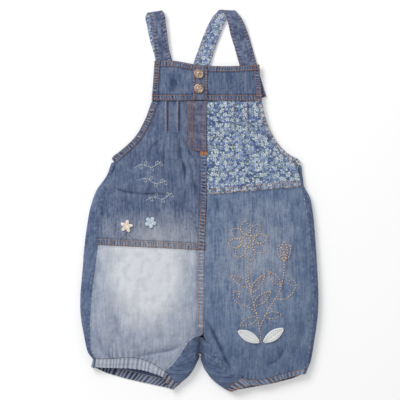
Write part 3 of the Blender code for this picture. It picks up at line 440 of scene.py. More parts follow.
# a closed wall between two grids of points, with its own cloth map and masks
def clothPiece(name, node, outer, inner, masks, map2d, material):
    outer, inner = np.asarray(outer, float), np.asarray(inner, float)
    rows, columns = outer.shape[:2]
    points = np.concatenate([outer.reshape(-1, 3), inner.reshape(-1, 3)])
    points[:, 2] = np.maximum(points[:, 2], 0.02)
    points = (points + shift) * mm
    number = np.arange(rows * columns).reshape(rows, columns)
    quads = np.stack(
        [number[:-1, :-1], number[:-1, 1:], number[1:, 1:], number[1:, :-1]], -1
    ).reshape(-1, 4)
    under = quads[:, ::-1] + rows * columns
    rim = list(number[0, :]) + list(number[1:, -1])
    rim += list(number[-1, -2::-1]) + list(number[-2:0:-1, 0])
    rim = np.array(rim)
    nextRim = np.roll(rim, -1)
    sides = np.stack(
        [nextRim, rim, rim + rows * columns, nextRim + rows * columns], -1
    )
    faces = np.concatenate([quads, under, sides])
    mesh = bpy.data.meshes.new(name)
    mesh.vertices.add(len(points))
    mesh.vertices.foreach_set("co", points.astype(np.float32).ravel())
    mesh.loops.add(faces.size)
    mesh.loops.foreach_set("vertex_index", faces.astype(np.int32).ravel())
    mesh.polygons.add(len(faces))
    starts = np.arange(0, faces.size, 4, dtype=np.int32)
    mesh.polygons.foreach_set("loop_start", starts)
    mesh.update(calc_edges=True)
    mesh.validate()
    tool = bmesh.new()
    tool.from_mesh(mesh)
    if tool.calc_volume(signed=True) < 0:
        bmesh.ops.reverse_faces(tool, faces=tool.faces)
    tool.to_mesh(mesh)
    tool.free()
    for mask in ("fade", "wear", "creaseDyeAndShade"):
        values = np.asarray(masks.get(mask, np.zeros((rows, columns))), float)
        values = np.broadcast_to(values, (rows, columns)).ravel()
        made = mesh.attributes.new(mask, "FLOAT", "POINT")
        made.data.foreach_set("value", np.tile(values, 2).astype(np.float32))
    flat = np.tile(np.asarray(map2d, float).reshape(-1, 2) * mm, (2, 1))
    corners = np.empty(len(mesh.loops), np.int32)
    mesh.loops.foreach_get("vertex_index", corners)
    layer = mesh.uv_layers.new(name="cloth")
    layer.data.foreach_set("uv", flat[corners].astype(np.float32).ravel())
    mesh.shade_smooth()
    mesh.set_sharp_from_angle(angle=math.radians(62))
    mesh.materials.append(material)
    obj = bpy.data.objects.new(name, mesh)
    bpy.context.scene.collection.objects.link(obj)
    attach(obj, "root")
    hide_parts(node)
    madePieces[name] = obj
    return obj


# Materials
def linear(red, green, blue):
    parts = []
    for value in (red, green, blue):
        share = value / 255
        parts.append(share / 12.92 if share < 0.04 else ((share + 0.055) / 1.055) ** 2.4)
    return (*parts, 1.0)


def addNode(tree, kind, values=None, **settings):
    node = tree.nodes.new(kind)
    for key, value in settings.items():
        setattr(node, key, value)
    for key, value in (values or {}).items():
        if isinstance(value, bpy.types.NodeSocket):
            tree.links.new(value, node.inputs[key])
        else:
            node.inputs[key].default_value = value
    return node


def calc(tree, operation, first, second=None, third=None, clamp=False):
    values = {0: first}
    if second is not None:
        values[1] = second
    if third is not None:
        values[2] = third
    node = addNode(tree, "ShaderNodeMath", values, operation=operation, use_clamp=clamp)
    return node.outputs[0]


def mixColour(tree, share, first, second, kind="MIX"):
    values = {0: share, 6: first, 7: second}
    node = addNode(
        tree, "ShaderNodeMix", values, data_type="RGBA", blend_type=kind, clamp_factor=True
    )
    return node.outputs[2]


def ramp(tree, value, low, high):
    values = {0: value, 1: low, 2: high, 3: 0.0, 4: 1.0}
    node = addNode(
        tree, "ShaderNodeMapRange", values, interpolation_type="SMOOTHSTEP", clamp=True
    )
    return node.outputs[0]


def newGroup(name, inputs, outputs):
    group = bpy.data.node_groups.new(name, "ShaderNodeTree")
    for label, kind, value in inputs:
        made = group.interface.new_socket(label, in_out="INPUT", socket_type=kind)
        made.default_value = value
    for label, kind in outputs:
        group.interface.new_socket(label, in_out="OUTPUT", socket_type=kind)
    source = group.nodes.new("NodeGroupInput")
    sink = group.nodes.new("NodeGroupOutput")
    return group, source.outputs, sink.inputs


def maskOf(tree, name):
    return addNode(
        tree, "ShaderNodeAttribute", attribute_name=name, attribute_type="GEOMETRY"
    ).outputs["Fac"]


# the cloth map in millimetres, scaled and offset
def mapIn(tree, scaleU, scaleV, offset=0.0):
    uv = addNode(tree, "ShaderNodeUVMap", uv_map="cloth").outputs[0]
    values = {"Vector": uv, "Scale": (scaleU, scaleV, 1), "Location": (offset, offset, 0)}
    return addNode(tree, "ShaderNodeMapping", values).outputs[0]


def noise(tree, vector, detail=3.0, rough=0.55):
    values = {"Vector": vector, "Scale": 1.0, "Detail": detail, "Roughness": rough}
    return addNode(
        tree, "ShaderNodeTexNoise", values, noise_dimensions="2D"
    ).outputs[0]


# twill weave, as a height, the slubs and mottling of washed indigo, and creases darkened with kept dye and
# painted shade
def denimGroup():
    group, given, out = newGroup(
        "washedTwill",
        [
            ("Dye", "NodeSocketColor", (0.1, 0.15, 0.25, 1)),
            ("Pale", "NodeSocketColor", (0.3, 0.35, 0.45, 1)),
            ("DeepDyeAndShade", "NodeSocketColor", (0.02, 0.03, 0.06, 1)),
            ("Bleach", "NodeSocketColor", (0.7, 0.7, 0.7, 1)),
            ("Mottle", "NodeSocketFloat", 0.3),
            ("Wear", "NodeSocketFloat", 0.8),
            ("CreaseDyeAndShade", "NodeSocketFloat", 0.8),
        ],
        [
            ("Color", "NodeSocketColor"),
            ("Roughness", "NodeSocketFloat"),
            ("Height", "NodeSocketFloat"),
        ],
    )
    uv = addNode(group, "ShaderNodeUVMap", uv_map="cloth").outputs[0]
    parts = addNode(group, "ShaderNodeSeparateXYZ", {0: uv}).outputs
    diagonal = calc(group, "ADD", parts[0], calc(group, "MULTIPLY", parts[1], 0.62))
    ribs = calc(group, "SINE", calc(group, "MULTIPLY", diagonal, 2 * math.pi / 0.00085))
    threads = calc(group, "SINE", calc(group, "MULTIPLY", parts[1], 2 * math.pi / 0.0007))
    weave = calc(group, "ADD", ribs, calc(group, "MULTIPLY", threads, 0.35))
    slub = noise(group, mapIn(group, 1100, 90), 2.0)
    streak = noise(group, mapIn(group, 430, 42, 3.0), 3.0)
    patch = noise(group, mapIn(group, 62, 48, 7.0), 3.0)
    blotch = noise(group, mapIn(group, 330, 260, 5.0), 5.0, 0.7)
    mixed = calc(group, "ADD", calc(group, "MULTIPLY", slub, 0.7), calc(group, "MULTIPLY", streak, 1.3))
    mixed = calc(group, "ADD", mixed, calc(group, "MULTIPLY", patch, 0.9))
    mixed = calc(group, "ADD", mixed, calc(group, "MULTIPLY", blotch, 1.3))
    mixed = calc(group, "MULTIPLY", calc(group, "SUBTRACT", mixed, 2.1), given["Mottle"])
    worn = calc(group, "MULTIPLY", maskOf(group, "wear"), given["Wear"])
    worn = calc(group, "MULTIPLY", worn, calc(group, "ADD", 0.55, blotch))
    pale = calc(group, "ADD", calc(group, "ADD", worn, mixed), 0.3, clamp=True)
    colour = mixColour(group, pale, given["Dye"], given["Pale"])
    faded = calc(group, "ADD", maskOf(group, "fade"), calc(group, "MULTIPLY", mixed, 0.35))
    faded = calc(group, "MULTIPLY", faded, calc(group, "ADD", maskOf(group, "fade"), 0.6))
    faded = calc(group, "MULTIPLY", faded, ramp(group, maskOf(group, "fade"), 0.0, 0.12))
    faded = calc(group, "ADD", faded, 0.0, clamp=True)
    colour = mixColour(group, faded, colour, given["Bleach"])
    # creases are darkened towards the deep colour: dye kept in them and painted shade
    deep = calc(group, "MULTIPLY", maskOf(group, "creaseDyeAndShade"), given["CreaseDyeAndShade"], clamp=True)
    colour = mixColour(group, deep, colour, given["DeepDyeAndShade"])
    fine = calc(group, "ADD", calc(group, "MULTIPLY", weave, 0.07), 0.93)
    scaled = addNode(group, "ShaderNodeCombineColor", {0: fine, 1: fine, 2: fine})
    colour = mixColour(group, 1.0, colour, scaled.outputs[0], "MULTIPLY")
    group.links.new(colour, out["Color"])
    group.links.new(calc(group, "SUBTRACT", 0.96, calc(group, "MULTIPLY", pale, 0.1)), out["Roughness"])
    bumps = calc(group, "ADD", calc(group, "MULTIPLY", weave, 0.3), slub)
    group.links.new(calc(group, "ADD", bumps, calc(group, "MULTIPLY", blotch, 1.6)), out["Height"])
    return group


# little five-petalled flowers and leaves on a plain weave
def floralGroup():
    group, given, out = newGroup(
        "ditsyPrint",
        [
            ("Ground", "NodeSocketColor", (0.05, 0.08, 0.18, 1)),
            ("Petal", "NodeSocketColor", (0.7, 0.75, 0.8, 1)),
            ("Petal Tint", "NodeSocketColor", (0.3, 0.4, 0.6, 1)),
            ("Leaf", "NodeSocketColor", (0.4, 0.5, 0.35, 1)),
            ("Eye", "NodeSocketColor", (0.75, 0.7, 0.3, 1)),
            ("Repeat", "NodeSocketFloat", 5.0),
        ],
        [
            ("Color", "NodeSocketColor"),
            ("Roughness", "NodeSocketFloat"),
            ("Height", "NodeSocketFloat"),
        ],
    )
    cells = calc(group, "DIVIDE", 1000.0, given["Repeat"])

    def flowers(scale, offset, petals, reach, keep):
        size = calc(group, "MULTIPLY", cells, scale)
        uv = addNode(group, "ShaderNodeUVMap", uv_map="cloth").outputs[0]
        vector = addNode(
            group, "ShaderNodeVectorMath", {0: uv, 3: size}, operation="SCALE"
        ).outputs[0]
        vector = addNode(
            group,
            "ShaderNodeVectorMath",
            {0: vector, 1: (offset, offset * 0.7, 0)},
            operation="ADD",
        ).outputs[0]
        cell = addNode(
            group,
            "ShaderNodeTexVoronoi",
            {"Vector": vector, "Scale": 1.0, "Randomness": 0.8},
            voronoi_dimensions="2D",
        )
        local = addNode(
            group,
            "ShaderNodeVectorMath",
            {0: vector, 1: cell.outputs["Position"]},
            operation="SUBTRACT",
        ).outputs[0]
        xy = addNode(group, "ShaderNodeSeparateXYZ", {0: local}).outputs
        chance = addNode(group, "ShaderNodeSeparateColor", {0: cell.outputs["Color"]}).outputs
        angle = calc(group, "ARCTAN2", xy[1], xy[0])
        start = calc(group, "MULTIPLY", chance[0], 6.28)
        turned = calc(group, "ADD", calc(group, "MULTIPLY", angle, petals), start)
        lobe = calc(group, "ADD", calc(group, "MULTIPLY", calc(group, "COSINE", turned), 0.34), 0.66)
        size = calc(group, "ADD", reach, calc(group, "MULTIPLY", chance[1], 0.1))
        limit = calc(group, "MULTIPLY", lobe, size)
        away = cell.outputs["Distance"]
        inside = ramp(group, calc(group, "SUBTRACT", limit, away), -0.02, 0.03)
        shown = calc(group, "LESS_THAN", chance[2], keep)
        return calc(group, "MULTIPLY", inside, shown), away, chance

    big, bigAway, bigChance = flowers(1.0, 0.0, 5.0, 0.42, 0.8)
    small, _, smallChance = flowers(1.7, 11.3, 5.0, 0.4, 0.7)
    leaves, _, leafChance = flowers(1.45, 23.9, 2.0, 0.34, 0.8)
    sprays, _, _ = flowers(2.6, 37.1, 3.0, 0.3, 0.5)
    wash = noise(group, mapIn(group, 90, 80), 3.0)
    washed = mixColour(group, 0.35, given["Ground"], given["Petal Tint"])
    colour = mixColour(group, ramp(group, wash, 0.4, 0.65), given["Ground"], washed)
    colour = mixColour(group, calc(group, "MULTIPLY", sprays, 0.7), colour, given["Petal Tint"])
    leafTone = calc(group, "ADD", 0.45, calc(group, "MULTIPLY", leafChance[1], 0.5))
    leafShare = calc(group, "MULTIPLY", leaves, leafTone)
    colour = mixColour(group, leafShare, colour, given["Leaf"])
    chosen = ramp(group, smallChance[1], 0.45, 0.55)
    tint = mixColour(group, chosen, given["Petal"], given["Petal Tint"])
    colour = mixColour(group, calc(group, "MULTIPLY", small, 0.9), colour, tint)
    chosen = calc(group, "MULTIPLY", ramp(group, bigChance[1], 0.5, 0.6), 0.75)
    tint = mixColour(group, chosen, given["Petal"], given["Petal Tint"])
    colour = mixColour(group, calc(group, "MULTIPLY", big, 0.95), colour, tint)
    ring = calc(group, "MULTIPLY", ramp(group, bigAway, 0.2, 0.13), big)
    colour = mixColour(group, calc(group, "MULTIPLY", ring, 0.75), colour, given["Ground"])
    eye = calc(group, "MULTIPLY", ramp(group, bigAway, 0.1, 0.06), big)
    colour = mixColour(group, eye, colour, given["Eye"])
    worn = calc(group, "MULTIPLY", maskOf(group, "wear"), 0.45)
    colour = mixColour(group, worn, colour, given["Petal"])
    # the crease mask darkens the print towards its ground: dye kept there and painted shade
    deep = calc(group, "MULTIPLY", maskOf(group, "creaseDyeAndShade"), 0.6, clamp=True)
    colour = mixColour(group, deep, colour, given["Ground"])
    uv = addNode(group, "ShaderNodeUVMap", uv_map="cloth").outputs[0]
    parts = addNode(group, "ShaderNodeSeparateXYZ", {0: uv}).outputs
    across = calc(group, "SINE", calc(group, "MULTIPLY", parts[0], 2 * math.pi / 0.0006))
    down = calc(group, "SINE", calc(group, "MULTIPLY", parts[1], 2 * math.pi / 0.0006))
    weave = calc(group, "MULTIPLY", across, down)
    group.links.new(colour, out["Color"])
    group.links.new(calc(group, "ADD", 0.88, calc(group, "MULTIPLY", wash, 0.08)), out["Roughness"])
    relief = calc(group, "ADD", calc(group, "MULTIPLY", weave, 0.25), calc(group, "MULTIPLY", wash, 1.5))
    group.links.new(relief, out["Height"])
    return group


twill = denimGroup()
ditsy = floralGroup()


def clothMaterial(name, group, values, bump=0.35):
    made = bpy.data.materials.new(name)
    made.use_nodes = True
    tree = made.node_tree
    shader = tree.nodes["Principled BSDF"]
    used = addNode(tree, "ShaderNodeGroup", node_tree=group)
    for key, value in values.items():
        used.inputs[key].default_value = value
    tree.links.new(used.outputs["Color"], shader.inputs["Base Color"])
    tree.links.new(used.outputs["Roughness"], shader.inputs["Roughness"])
    values = {"Height": used.outputs["Height"], "Strength": bump, "Distance": 0.0003}
    relief = addNode(tree, "ShaderNodeBump", values)
    tree.links.new(relief.outputs[0], shader.inputs["Normal"])
    shader.inputs["Specular IOR Level"].default_value = 0.15
    shader.inputs["Sheen Weight"].default_value = 0.08
    shader.inputs["Sheen Roughness"].default_value = 0.5
    return made


# deep is the colour that creases darken to, for kept dye and painted shade
def denim(name, dye, pale, deep, bleach=(214, 217, 221), mottle=0.72, wear=0.9, creaseDyeAndShade=0.9):
    return clothMaterial(
        name,
        twill,
        {
            "Dye": linear(*dye),
            "Pale": linear(*pale),
            "DeepDyeAndShade": linear(*deep),
            "Bleach": linear(*bleach),
            "Mottle": mottle,
            "Wear": wear,
            "CreaseDyeAndShade": creaseDyeAndShade,
        },
    )


finishes = {
    "midDenim": denim("midDenim", (76, 92, 126), (142, 154, 178), (38, 46, 76)),
    "yokeDenim": denim("yokeDenim", (70, 90, 126), (146, 156, 178), (40, 48, 78)),
    "placketDenim": denim("placketDenim", (88, 98, 128), (150, 154, 172), (50, 52, 78)),
    "legDenim": denim("legDenim", (92, 112, 148), (152, 166, 188), (46, 62, 98)),
    "backDenim": denim("backDenim", (74, 90, 126), (134, 149, 176), (38, 48, 82)),
    "bleachedDenim": denim(
        "bleachedDenim",
        (126, 141, 170),
        (192, 200, 212),
        (80, 96, 130),
        bleach=(228, 231, 237),
        mottle=0.5,
        creaseDyeAndShade=0.75,
    ),
    "flyDenim": denim("flyDenim", (84, 90, 120), (140, 142, 160), (50, 52, 80)),
    "casingDenim": denim(
        "casingDenim", (66, 74, 104), (150, 158, 178), (30, 35, 60), wear=1.0, creaseDyeAndShade=1.0
    ),
    "strapDenim": denim("strapDenim", (74, 86, 120), (140, 150, 176), (42, 48, 78)),
    "floral": clothMaterial(
        "floral",
        ditsy,
        {
            "Ground": linear(74, 90, 128),
            "Petal": linear(226, 236, 242),
            "Petal Tint": linear(136, 156, 202),
            "Leaf": linear(168, 190, 158),
            "Eye": linear(220, 218, 150),
            "Repeat": 6.4,
        },
        0.25,
    ),
}


# felt and thread: one fibrous finish with its own colours
def fibreMaterial(name, first, second, size=900.0, rough=0.9, bump=0.5):
    made = bpy.data.materials.new(name)
    made.use_nodes = True
    tree = made.node_tree
    shader = tree.nodes["Principled BSDF"]
    place = addNode(tree, "ShaderNodeTexCoord").outputs["Object"]
    values = {"Vector": place, "Scale": size, "Detail": 3.0, "Roughness": 0.6}
    fuzz = addNode(tree, "ShaderNodeTexNoise", values).outputs[0]
    values = {"Vector": place, "Scale": size * 0.12, "Detail": 2.0}
    broad = addNode(tree, "ShaderNodeTexNoise", values).outputs[0]
    share = calc(tree, "ADD", calc(tree, "MULTIPLY", fuzz, 0.6), calc(tree, "MULTIPLY", broad, 0.5))
    colour = mixColour(tree, ramp(tree, share, 0.35, 0.75), linear(*first), linear(*second))
    tree.links.new(colour, shader.inputs["Base Color"])
    roughness = calc(tree, "ADD", rough - 0.1, calc(tree, "MULTIPLY", fuzz, 0.15))
    tree.links.new(roughness, shader.inputs["Roughness"])
    values = {"Height": fuzz, "Strength": bump, "Distance": 0.0002}
    relief = addNode(tree, "ShaderNodeBump", values)
    tree.links.new(relief.outputs[0], shader.inputs["Normal"])
    shader.inputs["Specular IOR Level"].default_value = 0.2
    return made


threads = {
    "rust": fibreMaterial("rustThread", (168, 112, 78), (202, 148, 108), 2500, 0.7),
    "orange": fibreMaterial("orangeThread", (216, 136, 62), (236, 168, 96), 2500, 0.7),
    "tan": fibreMaterial("tanThread", (214, 184, 156), (234, 212, 188), 2500, 0.7),
    "peach": fibreMaterial("peachThread", (214, 158, 138), (232, 188, 168), 2500, 0.7),
    "pale": fibreMaterial("paleThread", (206, 216, 222), (228, 234, 238), 2500, 0.7),
    "dark": fibreMaterial("darkThread", (60, 66, 92), (84, 90, 116), 2500, 0.7),
    "grey": fibreMaterial("greyThread", (150, 152, 168), (176, 178, 190), 2500, 0.7),
}
print("materials made")


# Front panels
def wallFrom(outer, wall):
    inner = outer.copy()
    inner[..., 2] -= wall
    return inner


# plan points of a front panel from its matched edges: each row from the centre outwards
def panelPlan(rows, spacing):
    rows = smoothRows(rows, spacing)
    width = np.linalg.norm(rows[:, 0:2] - rows[:, 2:4], axis=1).max()
    shares = np.linspace(0, 1, int(width / spacing) + 1)[None, :, None]
    return rows[:, None, 0:2] + (rows[:, None, 2:4] - rows[:, None, 0:2]) * shares


def dressPanel(plan, hems, tucks=(), faintPuckers=0.2, seed=3):
    x, y = plan[..., 0], plan[..., 1]
    z, dark = surface(x, y)
    parts = {"z": z, "wear": np.zeros_like(z), "creaseDyeAndShade": dark}
    for one in hems:
        addHem(parts, x, y, **one)
    for tuck in tucks:
        away = x - tuck
        reach = smoothstep((y - 84) / 8) * smoothstep((131 - y) / 3)
        lift = 0.8 * np.exp(-((away / 1.6) ** 2))
        fallen = np.exp(-(((away - 2.2) / 1.1) ** 2))
        parts["z"] = parts["z"] + (lift - 0.6 * fallen) * reach
        # the fold beside each tuck is darkened: painted shadow of the tuck
        parts["creaseDyeAndShade"] = np.maximum(parts["creaseDyeAndShade"], fallen * reach)
        parts["wear"] = np.maximum(parts["wear"], 0.3 * np.exp(-((away / 1.3) ** 2)) * reach)
    small = ripple(x, y, 6.5, seed) + 0.6 * ripple(x, y, 3.2, seed + 1)
    small += 1.1 * ripple(x * 1.8, y * 0.5, 9, seed + 2)
    parts["z"] = parts["z"] + faintPuckers * small
    # small dips are darkened: dye kept there and painted shade
    parts["creaseDyeAndShade"] = np.clip(parts["creaseDyeAndShade"] + 0.16 * np.clip(-small, 0, 1), 0, 1)
    parts["wear"] = np.clip(parts["wear"] + 0.12 * np.clip(small, 0, 1), 0, 1)
    return parts


# soft folds that run up from an elasticated end and die out
def addGathers(parts, x, y, line, tall, depth, seed):
    away, along = nearestOn(line, x, y)
    phase = 2 * np.pi * along / 6.4 + 2.6 * ripple(along, away * 0.3, 13, seed)
    wave = np.sin(phase) * (0.65 + 0.5 * ripple(along, 0, 12, seed + 1))
    reach = tall * (0.6 + 0.5 * ripple(along, 0, 8, seed + 2))
    fade = np.exp(-np.clip(away, 0, None) / np.clip(reach, 4, None) * 2.2)
    parts["z"] = parts["z"] + depth * wave * fade * smoothstep((away + 2.5) / 5)
    # gather troughs are darkened: dye kept there and painted shade
    parts["creaseDyeAndShade"] = np.clip(parts["creaseDyeAndShade"] + 0.55 * np.clip(-wave, 0, 1) * fade, 0, 1)
    parts["wear"] = np.clip(parts["wear"] + 0.3 * np.clip(wave, 0, 1) * fade, 0, 1)


def frontPiece(name, plan, parts, fade, material, node=None):
    outer = np.dstack([plan, parts["z"]])
    masks = {"wear": parts["wear"], "creaseDyeAndShade": parts["creaseDyeAndShade"], "fade": fade}
    return clothPiece(
        name, node or name, outer, wallFrom(outer, cloth["wall"]), masks, plan, finishes[material]
    )


def upperRows(half):
    rows = [(b[2], b[3], b[0], b[1]) for b in half["bib"]]
    rows += [(v[4], v[5], v[0], v[1]) for v in half["levels"][: half["waist"] + 1]]
    return rows


def legLevels(half):
    levels = half["levels"]
    start = next(i for i, v in enumerate(levels) if v[8] == 1) - 1
    rows = levels[half["waist"] : start + 1]
    for share, x, y in half["frontCrotch"]:
        level = list(mixLevels(levels[start], levels[start + 1], share))
        level[4:6] = [x, y]
        rows.append(tuple(level))
    return rows + levels[start + 1 :]


seamGap, hemWidth, felled = 0.12, 8.0, 8.3
sideSeam = {"raised": 0.15, "depth": 0.2, "tone": 0.4}
waistLeft = [leftHalf["levels"][6][0:2], leftHalf["levels"][6][4:6]]
waistRight = [rightHalf["levels"][2][0:2], rightHalf["levels"][2][4:6]]
centreLine = [(9.0, 132)] + [v[4:6] for v in leftHalf["levels"][:12]]
armholeLeft = [b[0:2] for b in leftHalf["bib"]]
armholeRight = [b[0:2] for b in rightHalf["bib"]]
sideSeamLeft = [v[0:2] for v in leftHalf["levels"]]
sideSeamRight = [v[0:2] for v in rightHalf["levels"]]
inseamLeft = [(-0.6, -176.4)] + [v[4:6] for v in leftHalf["levels"] if v[8]]
inseamRight = [(4.6, -174.6)] + [v[4:6] for v in rightHalf["levels"] if v[8]]


def buildUppers():
    gap = seamGap
    rows = [(a - gap, b, c + gap, d) for a, b, c, d in upperRows(leftHalf)]
    plan = panelPlan(rows, cloth["detail"])
    x, y = plan[..., 0], plan[..., 1]
    belowFly = smoothstep((cloth["flyBottom"] + 6 - y) / 5)
    underLap = smoothstep((128.5 - y) / 3)
    belowArm = smoothstep((y - 42) / 6)
    hems = [
        dict(line=armholeLeft, width=hemWidth, seed=5, depth=0.36, pitch=3.7, reach=underLap * belowArm),
        dict(line=centreLine, width=felled, seed=8, depth=0.38, pitch=4.4, reach=belowFly),
        dict(line=waistLeft, width=hemWidth, seed=11, depth=0.36, pitch=3.3),
        dict(line=sideSeamLeft, width=1.5, seed=14, reach=1 - belowArm, **sideSeam, pitch=7.0),
    ]
    parts = dressPanel(plan, hems, tucks=(-44.0, -29.0), seed=20)
    fade = 0.42 * smoothstep((-2 - y) / 44) * np.exp(-(((x + 52) / 70) ** 2))
    frontPiece("front_left_upper", plan, parts, fade, "midDenim")

    rows = [(a + gap, b, c - gap, d) for a, b, c, d in upperRows(rightHalf)]
    plan = panelPlan(rows, cloth["detail"])
    x, y = plan[..., 0], plan[..., 1]
    underLap = smoothstep((128 - y) / 3)
    belowArm = smoothstep((y - 40) / 6)
    hems = [
        dict(
            line=armholeRight, width=5.0, seed=25, depth=0.25, pitch=4.6, reach=underLap * belowArm, tone=0.5
        ),
        dict(line=waistRight, width=7.0, seed=28, depth=0.3, pitch=3.6, tone=0.9),
    ]
    parts = dressPanel(plan, hems, tucks=(44.0, 61.0), faintPuckers=0.28, seed=30)
    frontPiece("front_right_upper", plan, parts, 0, "floral")


def legPlan(half):
    gap = seamGap
    sign = 1 if half is leftHalf else -1
    levels = legLevels(half)
    rows = [(v[4] - sign * gap, v[5], v[0] + sign * gap, v[1]) for v in levels]
    rows[0] = (rows[0][0], rows[0][1] - 0.25, rows[0][2], rows[0][3] - 0.25)
    plan = panelPlan(rows, cloth["detail"])
    last = levels[-1][1]
    seamY = plan[:, -1, 1]
    bowed = half["bow"][0] * smoothstep(1 - (seamY - last) / cloth["legBowReach"])
    shares = np.linspace(1, 0, plan.shape[1])
    plan[..., 1] += bowed[:, None] * bowShape(shares, half["bow"][2])[None, :]
    return plan


def buildLegs():
    plan = legPlan(leftHalf)
    x, y = plan[..., 0], plan[..., 1]
    aboveCrotch = smoothstep((y + 177) / 3)
    hems = [
        dict(line=centreLine, width=felled, seed=8, depth=0.38, pitch=4.4, reach=aboveCrotch, tone=0.6),
        dict(line=waistLeft, width=1.2, raised=0.0, depth=0.25, pitch=3.3, seed=11, tone=0.4),
        dict(line=sideSeamLeft, width=1.6, seed=35, **sideSeam, pitch=8.0),
        dict(line=inseamLeft, width=1.8, raised=0.2, depth=0.3, pitch=6.0, seed=37, tone=0.6),
    ]
    parts = dressPanel(plan, hems, seed=40)
    addGathers(parts, x, y, legEndLines[0][:9], 24.0, 0.8, 39)
    centre = np.exp(-(((x + 70) / 50) ** 2) - ((y + 96) / 56) ** 2)
    top = 0.82 * smoothstep((y + 108) / 40) * np.exp(-(((x + 68) / 72) ** 2))
    low = 0.12 * smoothstep((-120 - y) / 40)
    fade = np.clip(0.05 + np.maximum(centre * 1.15, top) + low, 0, 1)
    fade = fade * (1 - 0.75 * smoothstep((x + 8) / 5)) * (1 - 0.35 * smoothstep((-128 - x) / 12))
    frontPiece("front_left_leg", plan, parts, fade, "bleachedDenim")

    plan = legPlan(rightHalf)
    x, y = plan[..., 0], plan[..., 1]
    hems = [
        dict(line=waistRight, width=1.2, raised=0.0, depth=0.3, pitch=3.6, seed=28, tone=0.5),
        dict(line=sideSeamRight, width=1.6, seed=45, **sideSeam, pitch=8.0),
        dict(line=inseamRight, width=1.8, raised=0.2, depth=0.3, pitch=6.0, seed=47, tone=0.7),
    ]
    parts = dressPanel(plan, hems, seed=50)
    addGathers(parts, x, y, legEndLines[1][:9], 20.0, 0.9, 49)
    fade = 0.27 * np.exp(-(((x - 66) / 42) ** 2) - ((y + 75) / 70) ** 2)
    fade = fade + 0.08 * np.exp(-(((x - 110) / 20) ** 2) - ((y + 60) / 60) ** 2)
    # darker towards the leg end
    parts["creaseDyeAndShade"] = np.maximum(parts["creaseDyeAndShade"], 0.2 * smoothstep((-165 - y) / 40))
    frontPiece("front_right_leg", plan, parts, fade, "legDenim")


# Back panels and casings, as rings round each half
def turnRadius(at, inward):
    radius = 4.0
    for _ in range(4):
        spot = at + inward * radius
        radius = height(*spot) / 2
    return radius


# ring points: place, then the outward normal
def arcPoints(at, inward, angles):
    radius = turnRadius(at, inward)
    centre = at + inward * radius
    found = []
    for angle in angles:
        out, up = math.cos(math.radians(angle)), math.sin(math.radians(angle))
        spot = centre - inward * radius * out
        found.append((*spot, radius * (1 + up), *(-inward * out), up))
    return found


def topPoints(start, end, count):
    found = []
    for share in np.linspace(0, 1, count + 1)[1:]:
        spot = start + (end - start) * share
        found.append((*spot, height(*spot), 0, 0, 1))
    return found


def flatPoints(start, end, rise, sag, shares):
    found = []
    for share in shares:
        spot = start + (end - start) * share
        bend = rise * (float(smoothstep(share / 0.56)) - share)
        bend -= sag * math.sin(math.pi * share**0.6)
        found.append((spot[0], spot[1] + bend, 0.0, 0, 0, -1))
    return found


def partTurned(at, inward, turn, steps):
    rise = turn * height(*at)
    width = cloth["turnWidth"]
    found = []
    for angle in np.radians(np.linspace(0, 90, steps + 1)[1:]):
        normal = unit(np.array([rise * math.sin(angle), -width * math.cos(angle)]))
        spot = at + inward * width * (1 - math.sin(angle))
        z = rise * (1 - math.cos(angle))
        found.append((*spot, z, *(-inward * normal[0]), normal[1]))
    return found


def overPoints(at, inward, end, steps):
    top = arcPoints(at, inward, [90])[0]
    arcLength = math.pi * top[2] / 2
    topPlan = np.array(top[:2])
    length = arcLength + np.linalg.norm(end - topPlan)
    found = []
    for step in range(1, steps + 1):
        along = length * step / steps
        if along < arcLength:
            found += arcPoints(at, inward, [180 * along / arcLength - 90])
            continue
        share = (along - arcLength) / (length - arcLength)
        spot = topPlan + (end - topPlan) * share
        found.append((*spot, height(*spot), 0, 0, 1))
    return found


def backRing(level, end=None, wrapSteps=12):
    side = np.array(level[2:4], float)
    sign = math.copysign(1.0, side[0])
    inner = np.array([level[6] + sign * 0.1, level[7]], float)
    inward = unit(inner - side)
    seam = np.array(level[0:2], float)
    ring = arcPoints(side, inward, np.linspace(90, -90, 8))
    ring = topPoints(np.array(ring[0][:2]), seam, 2)[::-1] + ring
    start = np.array(ring[-1][:2])
    turn = level[8]
    if not turn:
        rise = max(0.0, inner[1] - side[1])
        shares = (0.12, 0.26, 0.4, 0.56, 0.8, *np.linspace(0.86, 1, wrapSteps))
        return ring + flatPoints(start, inner, rise, 0.0, shares)
    shares = (0.15, 0.4, 0.65, 0.85, 1.0)
    if turn < 1:
        foot = inner - inward * cloth["turnWidth"]
        ring += flatPoints(start, foot, 0.0, 0.0, shares)
        return ring + partTurned(inner, -inward, turn, wrapSteps)
    foot = np.array(arcPoints(inner, -inward, [-90])[0][:2])
    sag = cloth["legSag"] * float(smoothstep((cloth["legSagFrom"] - side[1]) / 15))
    ring += flatPoints(start, foot, 0.0, sag, shares)
    end = np.array(end if end is not None else level[4:6], float)
    return ring + overPoints(inner, -inward, end, wrapSteps)


def backNet(half):
    levels = half["levels"]
    start = next(i for i, v in enumerate(levels) if v[8] == 1) - 1
    rings = [backRing(v) for v in levels[: start + 1]]
    for share, x, y, turn, end in half["backCrotch"]:
        level = list(mixLevels(levels[start], levels[start + 1], share))
        level[6:9] = [x, y, turn]
        rings.append(backRing(level, end))
    rings += [backRing(v) for v in levels[start + 1 :]]
    return np.array(rings)


